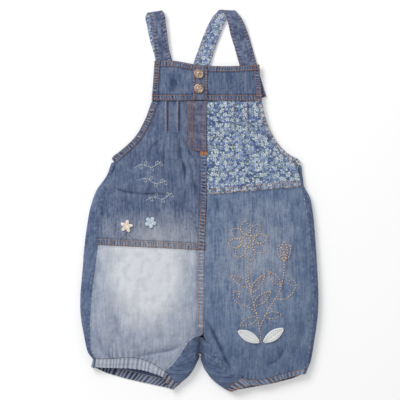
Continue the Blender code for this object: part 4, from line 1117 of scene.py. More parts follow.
# a net of ring points made fine both ways, with its lengths as the cloth map
def fineNet(net, spacing, mostAcross=9):
    steps, counts = refineCounts(net[..., :3], spacing, 14)
    tall = refine(net, steps, counts)
    across = tall.transpose(1, 0, 2)
    steps, counts = refineCounts(across[..., :3], spacing, mostAcross)
    fine = refine(across, steps, counts).transpose(1, 0, 2)
    length = np.linalg.norm(fine[..., 3:], axis=2, keepdims=True)
    fine[..., 3:] /= np.maximum(length, 1e-6)
    along = np.linalg.norm(np.diff(fine[..., :3], axis=1), axis=2)
    u = np.concatenate([np.zeros((len(fine), 1)), np.cumsum(along, axis=1)], axis=1)
    down = np.linalg.norm(np.diff(fine[..., :3], axis=0), axis=2).mean(axis=1)
    v = np.concatenate([[0], -np.cumsum(down)])
    return fine, np.dstack([u, np.broadcast_to(v[:, None], u.shape)])


def buildBacks():
    for name, half in (("back_left", leftHalf), ("back_right", rightHalf)):
        fine, map2d = fineNet(backNet(half), 1.9)
        u, v = map2d[..., 0], map2d[..., 1]
        total = u[:, -1:]
        off = smoothstep((fine[..., 2] - 0.8) / 2.5)  # nothing stands out underneath
        seamPuckers = np.exp(-((u / 3.0) ** 2)) * np.sin(2 * np.pi * v / 6.5 + 2 * ripple(v, 0, 12, 60))
        fromEnd = total - u
        legPuckers = np.exp(-((fromEnd / 4.0) ** 2)) * np.sin(2 * np.pi * v / 5.5 + 2 * ripple(v, 0, 10, 61))
        drape = ripple(u * 0.7, v * 0.35, 6, 62) + 0.7 * ripple(u, v, 3.4, 63)
        lift = (0.28 * seamPuckers + 0.22 * drape) * off
        lift = lift + 0.3 * legPuckers * off
        outer = fine[..., :3] + fine[..., 3:] * lift[..., None]
        inner = fine[..., :3] - fine[..., 3:] * cloth["wall"]
        seamShade = 0.35 * np.clip(-seamPuckers, 0, 1) + 0.4 * np.clip(-legPuckers, 0, 1)
        # pucker and drape troughs are darkened: dye kept there and painted shade
        creaseDyeAndShade = np.clip(-drape * 0.28 * off + seamShade, 0, 1)
        # the crotch, between the legs, is darkened: painted shade
        crotch = np.exp(-((fine[..., 0] / 5.0) ** 2)) * smoothstep((-174 - fine[..., 1]) / 4)
        crotch = crotch * smoothstep((fine[..., 2] - 1) / 4)
        creaseDyeAndShade = np.maximum(creaseDyeAndShade, 0.75 * crotch)
        seamWear = 0.2 * np.clip(seamPuckers, 0, 1) + 0.5 * np.clip(legPuckers, 0, 1)
        wear = np.clip(seamWear + 0.25 * np.clip(drape, 0, 1) * off, 0, 1)
        masks = {"creaseDyeAndShade": creaseDyeAndShade, "wear": wear}
        clothPiece(name, name, outer, inner, masks, map2d, finishes["backDenim"])


def evenRing(ring, count):
    ring = np.array(ring)
    along = np.concatenate([[0], np.cumsum(np.linalg.norm(np.diff(ring[:, :3], axis=0), axis=1))])
    wanted = np.linspace(0, along[-1], count + 1)
    return np.array([np.interp(wanted, along, column) for column in ring.T]).T, along[-1]


casings = {"pitch": 5.2, "perGather": 10, "height": 1.15, "rows": 9, "deep": 12.0}


def gatherWave(count, seed):
    column = np.arange(count + 1)
    place = column / casings["perGather"] * casings["pitch"]
    phase = 2 * np.pi * column / casings["perGather"] + 2.6 * ripple(place, 0, 10, seed)
    fade = np.clip(np.minimum(column, count - column) / 6, 0, 1)
    strength = 0.8 + 0.45 * ripple(place, 0, 7, seed + 1)
    return fade * np.clip(strength, 0.2, 1) * (1 - np.cos(phase)) / 2, phase


def buildCasings():
    pairs = (
        ("left", leftHalf, "bleachedDenim", "bleached_denim"),
        ("right", rightHalf, "legDenim", "washed_denim"),
    )
    for side, half, finish, slot in pairs:
        top = list(half["levels"][-1])
        top[1] -= 0.45
        top[3] -= 0.45
        top[5] -= 0.45
        top[7] -= 0.45
        shares = np.linspace(0, 1, casings["rows"])
        rings = [backRing(mixLevels(top, half["hem"], s)) for s in shares]
        length = evenRing(rings[4], 10)[1]
        count = casings["perGather"] * max(2, round(length / casings["pitch"]))
        wave, _ = gatherWave(count, 70)
        rows = [evenRing(ring, count)[0] for ring in rings]
        net = np.array(rows)
        length = np.linalg.norm(net[..., 3:], axis=2, keepdims=True)
        net[..., 3:] /= np.maximum(length, 1e-6)
        depth = casings["height"] * (0.35 + 0.65 * np.sin(np.pi * np.clip(shares * 0.9 + 0.1, 0, 1)) ** 0.7)
        push = depth[:, None] * wave[None, :]
        outer = net[..., :3] - net[..., 3:] * push[..., None]
        inner = net[..., :3] - net[..., 3:] * (push[..., None] + cloth["wall"])
        u = np.linspace(0, (count + 1) * 0.5, count + 1)
        v = -shares[:, None] * casings["deep"]
        map2d = np.dstack(np.broadcast_arrays(u[None, :], v))
        masks = {
            # gather troughs are darkened: dye kept there and painted shade
            "creaseDyeAndShade": np.broadcast_to(np.clip(wave * 1.2 - 0.25, 0, 1), net.shape[:2]),
            "wear": np.broadcast_to(np.clip(0.9 - wave * 1.6, 0, 1), net.shape[:2]) * 0.9,
        }
        name = f"casing_{side}_back"
        clothPiece(name, name, outer, inner, masks, map2d, finishes["casingDenim"])
        hemLevel = np.array(half["hem"], float)
        start = np.array(top, float)
        start[1] -= 0.1
        start[5] -= 0.1
        width = np.linalg.norm(hemLevel[0:2] - hemLevel[4:6])
        count = casings["perGather"] * max(2, round(width / casings["pitch"]))
        wave, _ = gatherWave(count, 75)
        grid = []
        for share in shares:
            level = start + (hemLevel - start) * share
            first, last = level[0:2], level[4:6]
            run = unit(last - first)
            first, last = first + run * 0.5, last - run * 0.25
            rise = half["bow"][0] + (half["bow"][1] - half["bow"][0]) * share
            z = cloth["casingTop"] + (cloth["casingEdge"] - cloth["casingTop"]) * max(0, share * 2 - 1)
            across = np.linspace(0, 1, count + 1)
            x = first[0] + (last[0] - first[0]) * across
            y = first[1] + (last[1] - first[1]) * across + rise * bowShape(across, half["bow"][2])
            deep = casings["height"] * (0.45 + 0.55 * math.sin(math.pi * min(1, share * 0.9 + 0.1)) ** 0.7)
            y = y + 0.5 * share * (wave - 0.5)
            grid.append(np.column_stack([x, y, z + deep * (0.5 - wave)]))
        outer = np.array(grid)
        strength = 0.85 if side == "right" else 0.6
        masks = {
            # gather troughs are darkened: dye kept there and painted shade
            "creaseDyeAndShade": np.broadcast_to(np.clip(wave * 1.15 - 0.3, 0, 1) * strength, outer.shape[:2]),
            "wear": np.broadcast_to(np.clip(0.8 - wave * 1.5, 0, 1) * 0.7, outer.shape[:2]),
            "fade": 0.3 if side == "left" else 0.0,
        }
        clothPiece(
            f"casing_{side}_front",
            f"casing_{side}_front",
            outer,
            wallFrom(outer, cloth["wall"]),
            masks,
            outer[..., :2],
            finishes[finish],
        )


# Yoke band, placket and fly facing
yoke = {
    "top": [(-59, 181), (-35, 181), (-8, 176.5), (21, 174), (39, 174), (77, 176)],
    "bottom": [(-62.8, 129.4), (80.6, 129.2)],
    "hem": 7.2,
    "placket": (-9.0, 9.3, 174.0, 130.4),
}


def buildYoke():
    top = smoothRows(np.array(yoke["top"], float), 4.0)
    bottomLeft, bottomRight = np.array(yoke["bottom"], float)
    width = yoke["top"][-1][0] - yoke["top"][0][0]
    across = np.linspace(0, 1, int(width / 1.05))
    down = np.linspace(0, 1, 50)
    topX = yoke["top"][0][0] + width * across
    topY = np.interp(topX, top[:, 0], top[:, 1])
    bottomX = bottomLeft[0] + (bottomRight[0] - bottomLeft[0]) * across
    bottomY = bottomLeft[1] + (bottomRight[1] - bottomLeft[1]) * across
    x = topX[None, :] + (bottomX - topX)[None, :] * down[:, None]
    y = topY[None, :] + (bottomY - topY)[None, :] * down[:, None]
    z = surface(x, y)[0] + underYoke(y)
    parts = {"z": z, "wear": np.zeros_like(z), "creaseDyeAndShade": np.zeros_like(z)}
    edges = (
        [tuple(p) for p in top],
        yoke["bottom"],
        [yoke["top"][0], yoke["bottom"][0]],
        [yoke["top"][-1], yoke["bottom"][1]],
    )
    pitches = (3.3, 3.6, 3.4, 3.4)
    for number, (edge, pitch) in enumerate(zip(edges, pitches)):
        addHem(parts, x, y, line=edge, width=yoke["hem"], pitch=pitch, seed=80 + number * 3)
    middle = smoothstep((y - 139) / 4) * smoothstep((topY[None, :] - 10 - y) / 4)
    wrinkles = ripple(x * 1.0, y * 0.22, 5.5, 90) + 0.6 * ripple(x, y * 0.35, 2.8, 91)
    near = np.exp(-(((x + 20) / 22) ** 2)) + 0.4 * np.exp(-(((x - 22) / 18) ** 2))
    parts["z"] += middle * wrinkles * (0.2 + 0.3 * near)
    shade = middle * np.clip(-wrinkles, 0, 1) * (0.2 + 0.5 * near)
    parts["creaseDyeAndShade"] = np.clip(parts["creaseDyeAndShade"] + shade, 0, 1)
    parts["wear"] = np.clip(parts["wear"] + middle * np.clip(wrinkles, 0, 1) * 0.2, 0, 1)
    frontPiece("yoke_band", np.dstack([x, y]), parts, 0, "yokeDenim")

    left, right, high, low = yoke["placket"]
    x, y = np.meshgrid(np.linspace(left, right, 22), np.linspace(high, low, 46))
    z = surface(x, y)[0] + underYoke(y) + 2.0
    parts = {"z": z, "wear": np.zeros_like(z), "creaseDyeAndShade": np.zeros_like(z)}
    for number, edge in enumerate(([(left, high), (left, low)], [(right, high), (right, low)])):
        addHem(parts, x, y, line=edge, width=2.4, raised=0.12, depth=0.18, pitch=3.6, seed=100 + number * 3)
    parts["z"] += 0.08 * ripple(x, y, 3, 106)
    frontPiece("button_placket", np.dstack([x, y]), parts, 0, "placketDenim")


fly = {"left": -16.5, "right": 8.4, "top": 128.6, "bottom": 63.0, "corner": (12.5, 13.5)}


def buildFly():
    across, down = fly["corner"]
    levels = [(y, fly["left"]) for y in np.linspace(fly["top"], fly["bottom"] + down, 40)]
    for angle in np.radians(np.linspace(6, 82, 13)):
        left = fly["left"] + across * (1 - math.cos(angle))
        levels.append((fly["bottom"] + down * (1 - math.sin(angle)), left))
    levels = np.array(levels)
    shares = np.linspace(0, 1, 26)
    x = levels[:, 1:2] + (fly["right"] - levels[:, 1:2]) * shares[None, :]
    y = np.broadcast_to(levels[:, 0:1], x.shape)
    z, dark = surface(x, y)
    # fold troughs are darkened at half strength: dye kept there and painted shade
    parts = {"z": z + 1.4, "wear": np.zeros_like(z), "creaseDyeAndShade": dark * 0.5}
    edge = [(fly["left"], fly["top"])] + [(p[1], p[0]) for p in levels[39:]]
    addHem(parts, x, y, line=edge, width=5.0, raised=0.05, depth=0.2, pitch=6.5, seed=110, tone=0.25)
    edge = [(fly["right"], fly["top"]), (fly["right"], fly["bottom"])]
    addHem(parts, x, y, line=edge, width=6.0, raised=0.1, depth=0.2, pitch=6.0, seed=113, tone=0.3)
    bumps = ripple(x * 0.6, y * 1.4, 5, 116) + 0.6 * ripple(x, y, 2.6, 117)
    parts["z"] += 0.22 * bumps
    # bump dips are darkened: dye kept there and painted shade
    parts["creaseDyeAndShade"] = np.clip(parts["creaseDyeAndShade"] + 0.35 * np.clip(-bumps, 0, 1), 0, 1)
    parts["wear"] = np.clip(parts["wear"] + 0.4 * np.clip(bumps, 0, 1), 0, 1)
    frontPiece("fly_facing", np.dstack([x, y]), parts, 0, "flyDenim")


# Straps
straps = {
    "ply": 1.0,
    "gap": 0.3,
    "leftFront": [
        (-53.0, 135, -34.5, 134, 2.6),
        (-55.0, 160, -36.5, 160, 2.6),
        (-57.2, 183, -38.8, 184, 2.7),
        (-60.0, 205, -41.5, 207, 2.9),
        (-62.4, 226, -44.4, 229, 3.6),
        (-66.0, 241, -47.6, 244, 4.4),
    ],
    "leftBack": [
        (-70.4, 240.4, -51.5, 243, 0.0),
        (-68.8, 226, -50.0, 228, 0.0),
        (-64.5, 206, -44.5, 207, 0.0),
        (-59.2, 187, -37.6, 187, 0.0),
        (-54.5, 162, -33.5, 162, 0.0),
        (-50.5, 120, -31.5, 120, 0.0),
        (-48.8, 106, -29.8, 106, 1.6),
        (-47.0, 88, -28.6, 88, 1.6),
    ],
    "rightFront": [
        (66.0, 128.6, 86.3, 134.8, 0.0),
        (59.5, 150, 80.6, 154, 0.0),
        (51.2, 177, 73.6, 179, 0.0),
        (45.5, 197, 68.0, 199, 0.0),
        (40.0, 215, 62.6, 217, 0.6),
        (36.4, 230, 57.2, 230, 2.8),
        (30.5, 246, 50.5, 241, 4.4),
    ],
    "rightBack": [
        (20.0, 242.3, 40.0, 246, 0.0),
        (11.8, 230, 32.2, 230, 0.0),
        (4.5, 214, 26.0, 214, 0.0),
        (-2.6, 195, 19.0, 195, 0.0),
        (-8.2, 179, 14.0, 179, 0.0),
        (-17.5, 148, 3.5, 148, 0.0),
        (-24.5, 120, -4.5, 120, 0.0),
        (-27.2, 106, -7.5, 106, 1.6),
        (-28.0, 88, -9.0, 88, 1.6),
    ],
}


def strapFace(front, back, depth):
    thick = 2 * straps["ply"] + straps["gap"]
    rows = [(a, b, r + depth, c, d, r + depth) for a, b, c, d, r in front]
    last, first = front[-1], back[0]
    middle = (last[4] + first[4] + thick) / 2
    radius = middle - thick + depth
    for angle in (30, 60, 90, 120, 150):
        share = angle / 180
        ahead = radius * math.sin(math.radians(angle))
        z = middle + radius * math.cos(math.radians(angle))
        mixed = [last[k] + (first[k] - last[k]) * share for k in range(4)]
        rows.append((mixed[0], mixed[1] + ahead, z, mixed[2], mixed[3] + ahead, z))
    rows += [(a, b, r + thick - depth, c, d, r + thick - depth) for a, b, c, d, r in back]
    return np.array(rows, float)


def buildStrap(side, seed):
    front, back = straps[side + "Front"], straps[side + "Back"]
    ply, gap = straps["ply"], straps["gap"]
    plies = (("outer", ply + gap, "strapDenim", "mid_denim"), ("lining", 0.0, "floral", "floral_cotton"))
    for label, inside, finish, slot in plies:
        faceA = strapFace(front, back, inside + ply)
        faceB = strapFace(front, back, inside)
        steps, counts = refineCounts(faceA, 1.3, 40)
        shares = np.linspace(0, 1, 18)[None, :, None]
        grids = []
        for face in (faceA, faceB):
            fine = refine(face, steps, counts)
            grids.append(fine[:, None, :3] + (fine[:, None, 3:] - fine[:, None, :3]) * shares)
        outer, inner = grids
        middleRow = outer[:, 9, :]
        along = np.concatenate([[0], np.cumsum(np.linalg.norm(np.diff(middleRow, axis=0), axis=1))])
        width = np.linalg.norm(outer[:, -1] - outer[:, 0], axis=1)
        u = width[:, None] * shares[0, :, 0][None, :]
        v = np.broadcast_to(along[:, None], u.shape)
        edge = np.minimum(u, width[:, None] - u)
        ridge = np.sin(2 * np.pi * (v + 0.4 * edge) / 4.3 + 2.4 * ripple(v, u, 8, seed))
        band = np.exp(-(((edge - 2.3) / 1.9) ** 2))
        bumps = ripple(u, v, 4.2, seed + 1) + 0.6 * ripple(u, v, 2.3, seed + 2)
        relief = 0.26 * band * ridge + 0.24 * bumps
        isTop = smoothstep((outer[..., 2] - inner[..., 2]) * 2)  # this face looks up
        if label == "outer":
            outer[..., 2] += np.clip(relief, -0.2, 0.4) * isTop
        else:
            clear = smoothstep((inner[..., 2] - 0.5) / 0.5)
            inner[..., 2] += np.clip(relief, -0.2, 0.4) * (1 - isTop) * clear
        wear = np.clip(band * np.clip(ridge, 0, 1) + 0.4 * np.clip(bumps, 0, 1), 0, 1)
        # pucker troughs and bump dips are darkened: dye kept there and painted shade
        creaseDyeAndShade = np.clip(band * np.clip(-ridge, 0, 1) * 0.9 + 0.5 * np.clip(-bumps, 0, 1), 0, 1)
        name = f"strap_{side}_{label}"
        masks = {"wear": wear, "creaseDyeAndShade": creaseDyeAndShade}
        clothPiece(name, name, outer, inner, masks, np.dstack([u, v]), finishes[finish])


# Appliques
def roundPiece(name, node, outline, profile, material):
    # rings from the middle out; outline(angle) is the reach, profile is (share, lift)
    mesh = bmesh.new()
    count = len(outline)
    skins = []
    for top in (True, False):
        rings = []
        for share, lift in profile:
            ring = []
            for x, y, cx, cy in outline:
                px, py = cx + (x - cx) * share, cy + (y - cy) * share
                z = max(height(px, py), height(cx, cy) - 0.3) + 0.45 + ((1.15 + lift) if top else 0)
                place = (np.array([px, py, z]) + shift) * mm
                ring.append(mesh.verts.new(place))
            rings.append(ring)
        skins.append(rings)
    for rings in skins:
        for inside, outside in zip(rings, rings[1:]):
            for i in range(count):
                j = (i + 1) % count
                mesh.faces.new((inside[i], inside[j], outside[j], outside[i]))
        mesh.faces.new(rings[0])
    for i in range(count):
        j = (i + 1) % count
        mesh.faces.new((skins[0][-1][i], skins[0][-1][j], skins[1][-1][j], skins[1][-1][i]))
    bmesh.ops.recalc_face_normals(mesh, faces=mesh.faces)
    data = bpy.data.meshes.new(name)
    mesh.to_mesh(data)
    mesh.free()
    data.shade_smooth()
    data.set_sharp_from_angle(angle=math.radians(70))
    data.materials.append(material)
    obj = bpy.data.objects.new(name, data)
    bpy.context.scene.collection.objects.link(obj)
    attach(obj, "root")
    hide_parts(node)
    madePieces[name] = obj
    return obj


flowers = {
    "flower_cream": dict(
        x=-95, y=-34, radius=8.2, petals=5, turn=80, notch=0.62, round=1.15, slot="cream_felt"
    ),
    "flower_blue": dict(
        x=-64, y=-29, radius=7.6, petals=5, turn=60, notch=0.5, round=0.6, slot="pale_blue_felt"
    ),
}
leaves = {
    "applique_leaf_left": dict(base=(77, -184), tip=(49, -169), width=13.5),
    "applique_leaf_right": dict(base=(82, -184), tip=(108, -166), width=13.5),
}
felts = {
    "flower_cream": fibreMaterial("creamFelt", (240, 228, 210), (250, 246, 236), 700),
    "flower_blue": fibreMaterial("paleBlueFelt", (176, 196, 214), (214, 224, 232), 700),
    "leaf": fibreMaterial("whiteFelt", (226, 228, 228), (244, 245, 244), 700),
}


def buildAppliques():
    for name, spec in flowers.items():
        outline = []
        steps = spec["petals"] * 14
        for step in range(steps):
            angle = 2 * math.pi * step / steps
            petal = abs(math.cos(spec["petals"] * angle / 2))
            reach = spec["radius"] * (1 - spec["notch"] * (1 - petal ** spec["round"]))
            turned = angle + math.radians(spec["turn"])
            x, y = spec["x"] + reach * math.cos(turned), spec["y"] + reach * math.sin(turned)
            outline.append((x, y, spec["x"], spec["y"]))
        profile = [(0.12, 0.0), (0.3, 0.35), (0.55, 0.55), (0.8, 0.5), (0.93, 0.3), (1.0, 0.0)]
        roundPiece(name, name, outline, profile, felts[name])
    for name, spec in leaves.items():
        base, tip = np.array(spec["base"], float), np.array(spec["tip"], float)
        across = unit(np.array([-(tip - base)[1], (tip - base)[0]]))
        outline = []
        sides = [(s, 1) for s in np.linspace(0, 1, 30)] + [(s, -1) for s in np.linspace(1, 0, 30)[1:-1]]
        for share, way in sides:
            half = spec["width"] / 2 * math.sin(math.pi * (0.03 + 0.94 * share)) ** 0.8
            x, y = base + (tip - base) * share + across * half * way
            outline.append((x, y, *(base + (tip - base) * (0.5 + (share - 0.5) * 0.8))))
        profile = [(0.1, 0.0), (0.35, 0.25), (0.7, 0.3), (0.92, 0.25), (1.0, 0.0)]
        roundPiece(name, name, outline, profile, felts["leaf"])


# Buttons
buttons = {
    "places": {"button_upper": (-1.6, 163.6), "button_lower": (-1.6, 144.6)},
    "radius": 6.3,
    "sides": 64,
}


def brassMaterial():
    made = bpy.data.materials.new("antiqueBrass")
    made.use_nodes = True
    tree = made.node_tree
    shader = tree.nodes["Principled BSDF"]
    place = addNode(tree, "ShaderNodeTexCoord").outputs["Object"]
    values = {"Vector": place, "Scale": 520.0, "Detail": 4.0, "Roughness": 0.6}
    tarnish = addNode(tree, "ShaderNodeTexNoise", values).outputs[0]
    colour = mixColour(tree, ramp(tree, tarnish, 0.38, 0.66), linear(150, 126, 108), linear(216, 196, 178))
    tree.links.new(colour, shader.inputs["Base Color"])
    tree.links.new(calc(tree, "ADD", 0.3, calc(tree, "MULTIPLY", tarnish, 0.3)), shader.inputs["Roughness"])
    values = {"Height": tarnish, "Strength": 0.25, "Distance": 0.0002}
    relief = addNode(tree, "ShaderNodeBump", values)
    tree.links.new(relief.outputs[0], shader.inputs["Normal"])
    shader.inputs["Metallic"].default_value = 0.75
    return made


def buildButtons():
    brass = brassMaterial()
    for name, (x, y) in buttons["places"].items():
        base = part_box(name)[0].z / mm
        rim = buttons["radius"]
        profile = [
            (0.0, 0.0),
            (3.0, 0.0),
            (3.0, 0.7),
            (rim - 0.6, 0.75),
            (rim - 0.15, 0.95),
            (rim, 1.35),
            (rim - 0.1, 1.9),
            (rim - 0.55, 2.35),
            (rim - 1.0, 2.5),
            (rim - 1.35, 2.38),
            (rim - 1.6, 2.05),
            (rim - 1.8, 1.95),
            (rim - 2.1, 2.02),
            (rim - 2.6, 2.12),
            (rim - 3.2, 2.15),
            (rim - 3.5, 2.02),
            (rim - 3.8, 2.02),
            (rim - 4.3, 2.2),
            (rim - 5.2, 2.32),
            (0.0, 2.36),
        ]
        mesh = bmesh.new()
        rings = []
        for radius, z in profile:
            if radius == 0:
                place = (np.array([x, y, base + z]) + shift) * mm
                rings.append([mesh.verts.new(place)])
                continue
            ring = []
            for step in range(buttons["sides"]):
                angle = 2 * math.pi * step / buttons["sides"]
                dents = 0.05 * math.sin(angle * 5) * (0.6 < radius < rim - 2)
                spot = (x + radius * math.cos(angle), y + radius * math.sin(angle), base + z + dents)
                ring.append(mesh.verts.new((np.array(spot) + shift) * mm))
            rings.append(ring)
        for first, second in zip(rings, rings[1:]):
            for i in range(buttons["sides"]):
                j = (i + 1) % buttons["sides"]
                if len(first) == 1:
                    mesh.faces.new((first[0], second[j], second[i]))
                elif len(second) == 1:
                    mesh.faces.new((first[i], first[j], second[0]))
                else:
                    mesh.faces.new((first[i], first[j], second[j], second[i]))
        bmesh.ops.recalc_face_normals(mesh, faces=mesh.faces)
        data = bpy.data.meshes.new(name + "_cap")
        mesh.to_mesh(data)
        mesh.free()
        data.shade_smooth()
        data.materials.append(brass)
        obj = bpy.data.objects.new(name + "_cap", data)
        bpy.context.scene.collection.objects.link(obj)
        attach(obj, "root")
        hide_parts(name)


# Stitches, by Geometry Nodes along lines dropped on the cloth
def stitchTree():
    tree = bpy.data.node_groups.new("runningStitch", "GeometryNodeTree")
    face = tree.interface
    face.new_socket("Lines", in_out="INPUT", socket_type="NodeSocketGeometry")
    for label, value in (("Pitch", 0.0032), ("Stitch Length", 0.0024), ("Thickness", 0.0007)):
        made = face.new_socket(label, in_out="INPUT", socket_type="NodeSocketFloat")
        made.default_value = value
    made = face.new_socket("Seed", in_out="INPUT", socket_type="NodeSocketInt")
    made.default_value = 1
    face.new_socket("Thread", in_out="INPUT", socket_type="NodeSocketMaterial")
    face.new_socket("Stitches", in_out="OUTPUT", socket_type="NodeSocketGeometry")
    given = tree.nodes.new("NodeGroupInput").outputs
    curve = addNode(tree, "GeometryNodeMeshToCurve", {"Mesh": given["Lines"]})
    spots = addNode(
        tree,
        "GeometryNodeCurveToPoints",
        {"Curve": curve.outputs[0], "Length": given["Pitch"]},
        mode="LENGTH",
    )
    aim = addNode(
        tree, "FunctionNodeAlignRotationToVector", {"Vector": spots.outputs["Tangent"]}, axis="X"
    )
    wobble = addNode(
        tree,
        "FunctionNodeRandomValue",
        {"Min": (-0.05, -0.04, -0.09), "Max": (0.05, 0.04, 0.09), "Seed": given["Seed"]},
        data_type="FLOAT_VECTOR",
    )
    turn = addNode(
        tree,
        "FunctionNodeRotateRotation",
        {"Rotation": aim.outputs[0], "Rotate By": wobble.outputs[0]},
        rotation_space="LOCAL",
    )
    ball = addNode(
        tree, "GeometryNodeMeshUVSphere", {"Segments": 6, "Rings": 4, "Radius": 0.5}
    )
    size = addNode(
        tree,
        "ShaderNodeCombineXYZ",
        {0: given["Stitch Length"], 1: given["Thickness"], 2: given["Thickness"]},
    )
    shape = addNode(
        tree,
        "GeometryNodeTransform",
        {"Geometry": ball.outputs[0], "Scale": size.outputs[0]},
    )
    vary = addNode(
        tree,
        "FunctionNodeRandomValue",
        {"Min": (0.88, 0.85, 0.85), "Max": (1.08, 1.15, 1.1), "Seed": given["Seed"]},
        data_type="FLOAT_VECTOR",
    )
    placed = addNode(
        tree,
        "GeometryNodeInstanceOnPoints",
        {
            "Points": spots.outputs["Points"],
            "Instance": shape.outputs[0],
            "Rotation": turn.outputs[0],
            "Scale": vary.outputs[0],
        },
    )
    real = addNode(tree, "GeometryNodeRealizeInstances", {"Geometry": placed.outputs[0]})
    smooth = addNode(tree, "GeometryNodeSetShadeSmooth", {"Geometry": real.outputs[0]})
    coated = addNode(
        tree,
        "GeometryNodeSetMaterial",
        {"Geometry": smooth.outputs[0], "Material": given["Thread"]},
    )
    out = tree.nodes.new("NodeGroupOutput")
    tree.links.new(coated.outputs[0], out.inputs["Stitches"])
    return tree


stitchNodes = stitchTree()


def evenLine(line, spacing=1.0):
    line = np.array(line, float)
    steps = np.linalg.norm(np.diff(line, axis=0), axis=1)
    along = np.concatenate([[0], np.cumsum(steps)])
    wanted = np.linspace(0, along[-1], max(2, int(along[-1] / spacing) + 1))
    return np.column_stack([np.interp(wanted, along, line[:, k]) for k in (0, 1)])


# the line moved sideways; positive is to the left of its run
def besideLine(line, offset):
    line = evenLine(line, 2.0)
    run = np.gradient(line, axis=0)
    side = np.column_stack([-run[:, 1], run[:, 0]])
    side /= np.linalg.norm(side, axis=1, keepdims=True)
    return line + side * offset


def sew(name, lines, carriers, thread, pitch=3.0, length=2.5, thickness=0.85, sink=0.1, seed=1):
    graph = bpy.context.evaluated_depsgraph_get()
    trees = [BVHTree.FromObject(madePieces[c], graph) for c in carriers]
    points, edges = [], []
    for line in lines:
        started = False
        for x, y in evenLine(line, 0.9):
            start = Vector(((x + shift[0]) * mm, (y + shift[1]) * mm, 0.1))
            tops = [t.ray_cast(start, Vector((0, 0, -1)))[0] for t in trees]
            tops = [t for t in tops if t is not None]
            if not tops:
                started = False
                continue
            top = max(tops, key=lambda t: t.z)
            points.append((top.x, top.y, top.z + (thickness / 2 - sink) * mm))
            if started:
                edges.append((len(points) - 2, len(points) - 1))
            started = True
    lineMesh = bpy.data.meshes.new(name + "_lines")
    lineMesh.from_pydata(points, edges, [])
    guide = bpy.data.objects.new(name + "_lines", lineMesh)
    bpy.context.scene.collection.objects.link(guide)
    modifier = guide.modifiers.new("stitches", "NODES")
    modifier.node_group = stitchNodes
    sockets = {
        item.name: item.identifier
        for item in stitchNodes.interface.items_tree
        if item.in_out == "INPUT"
    }
    modifier[sockets["Pitch"]] = pitch * mm
    modifier[sockets["Stitch Length"]] = length * mm
    modifier[sockets["Thickness"]] = thickness * mm
    modifier[sockets["Seed"]] = seed
    modifier[sockets["Thread"]] = threads[thread]
    graph = bpy.context.evaluated_depsgraph_get()
    mesh = bpy.data.meshes.new_from_object(guide.evaluated_get(graph))
    mesh.name = name
    bpy.data.objects.remove(guide)
    obj = bpy.data.objects.new(name, mesh)
    if not mesh.materials:
        mesh.materials.append(threads[thread])
    bpy.context.scene.collection.objects.link(obj)
    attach(obj, "root")
    print("  sewn", name, len(mesh.polygons), "faces")
    return obj


def circle(cx, cy, radius, steps=24):
    angles = np.radians(np.linspace(0, 360, steps + 1))
    return [(cx + radius * math.cos(a), cy + radius * math.sin(a)) for a in angles]


# a closed petal or leaf outline from its root to its tip
def petalLine(root, tip, width, blunt=0.55):
    root, tip = np.array(root, float), np.array(tip, float)
    across = unit(np.array([-(tip - root)[1], (tip - root)[0]]))
    line = []
    for share in np.linspace(0, 1, 13):
        half = width / 2 * math.sin(math.pi * share**blunt * 0.98)
        line.append(tuple(root + (tip - root) * share + across * half))
    for share in np.linspace(1, 0, 13)[1:]:
        half = width / 2 * math.sin(math.pi * share**blunt * 0.98)
        line.append(tuple(root + (tip - root) * share - across * half))
    return line


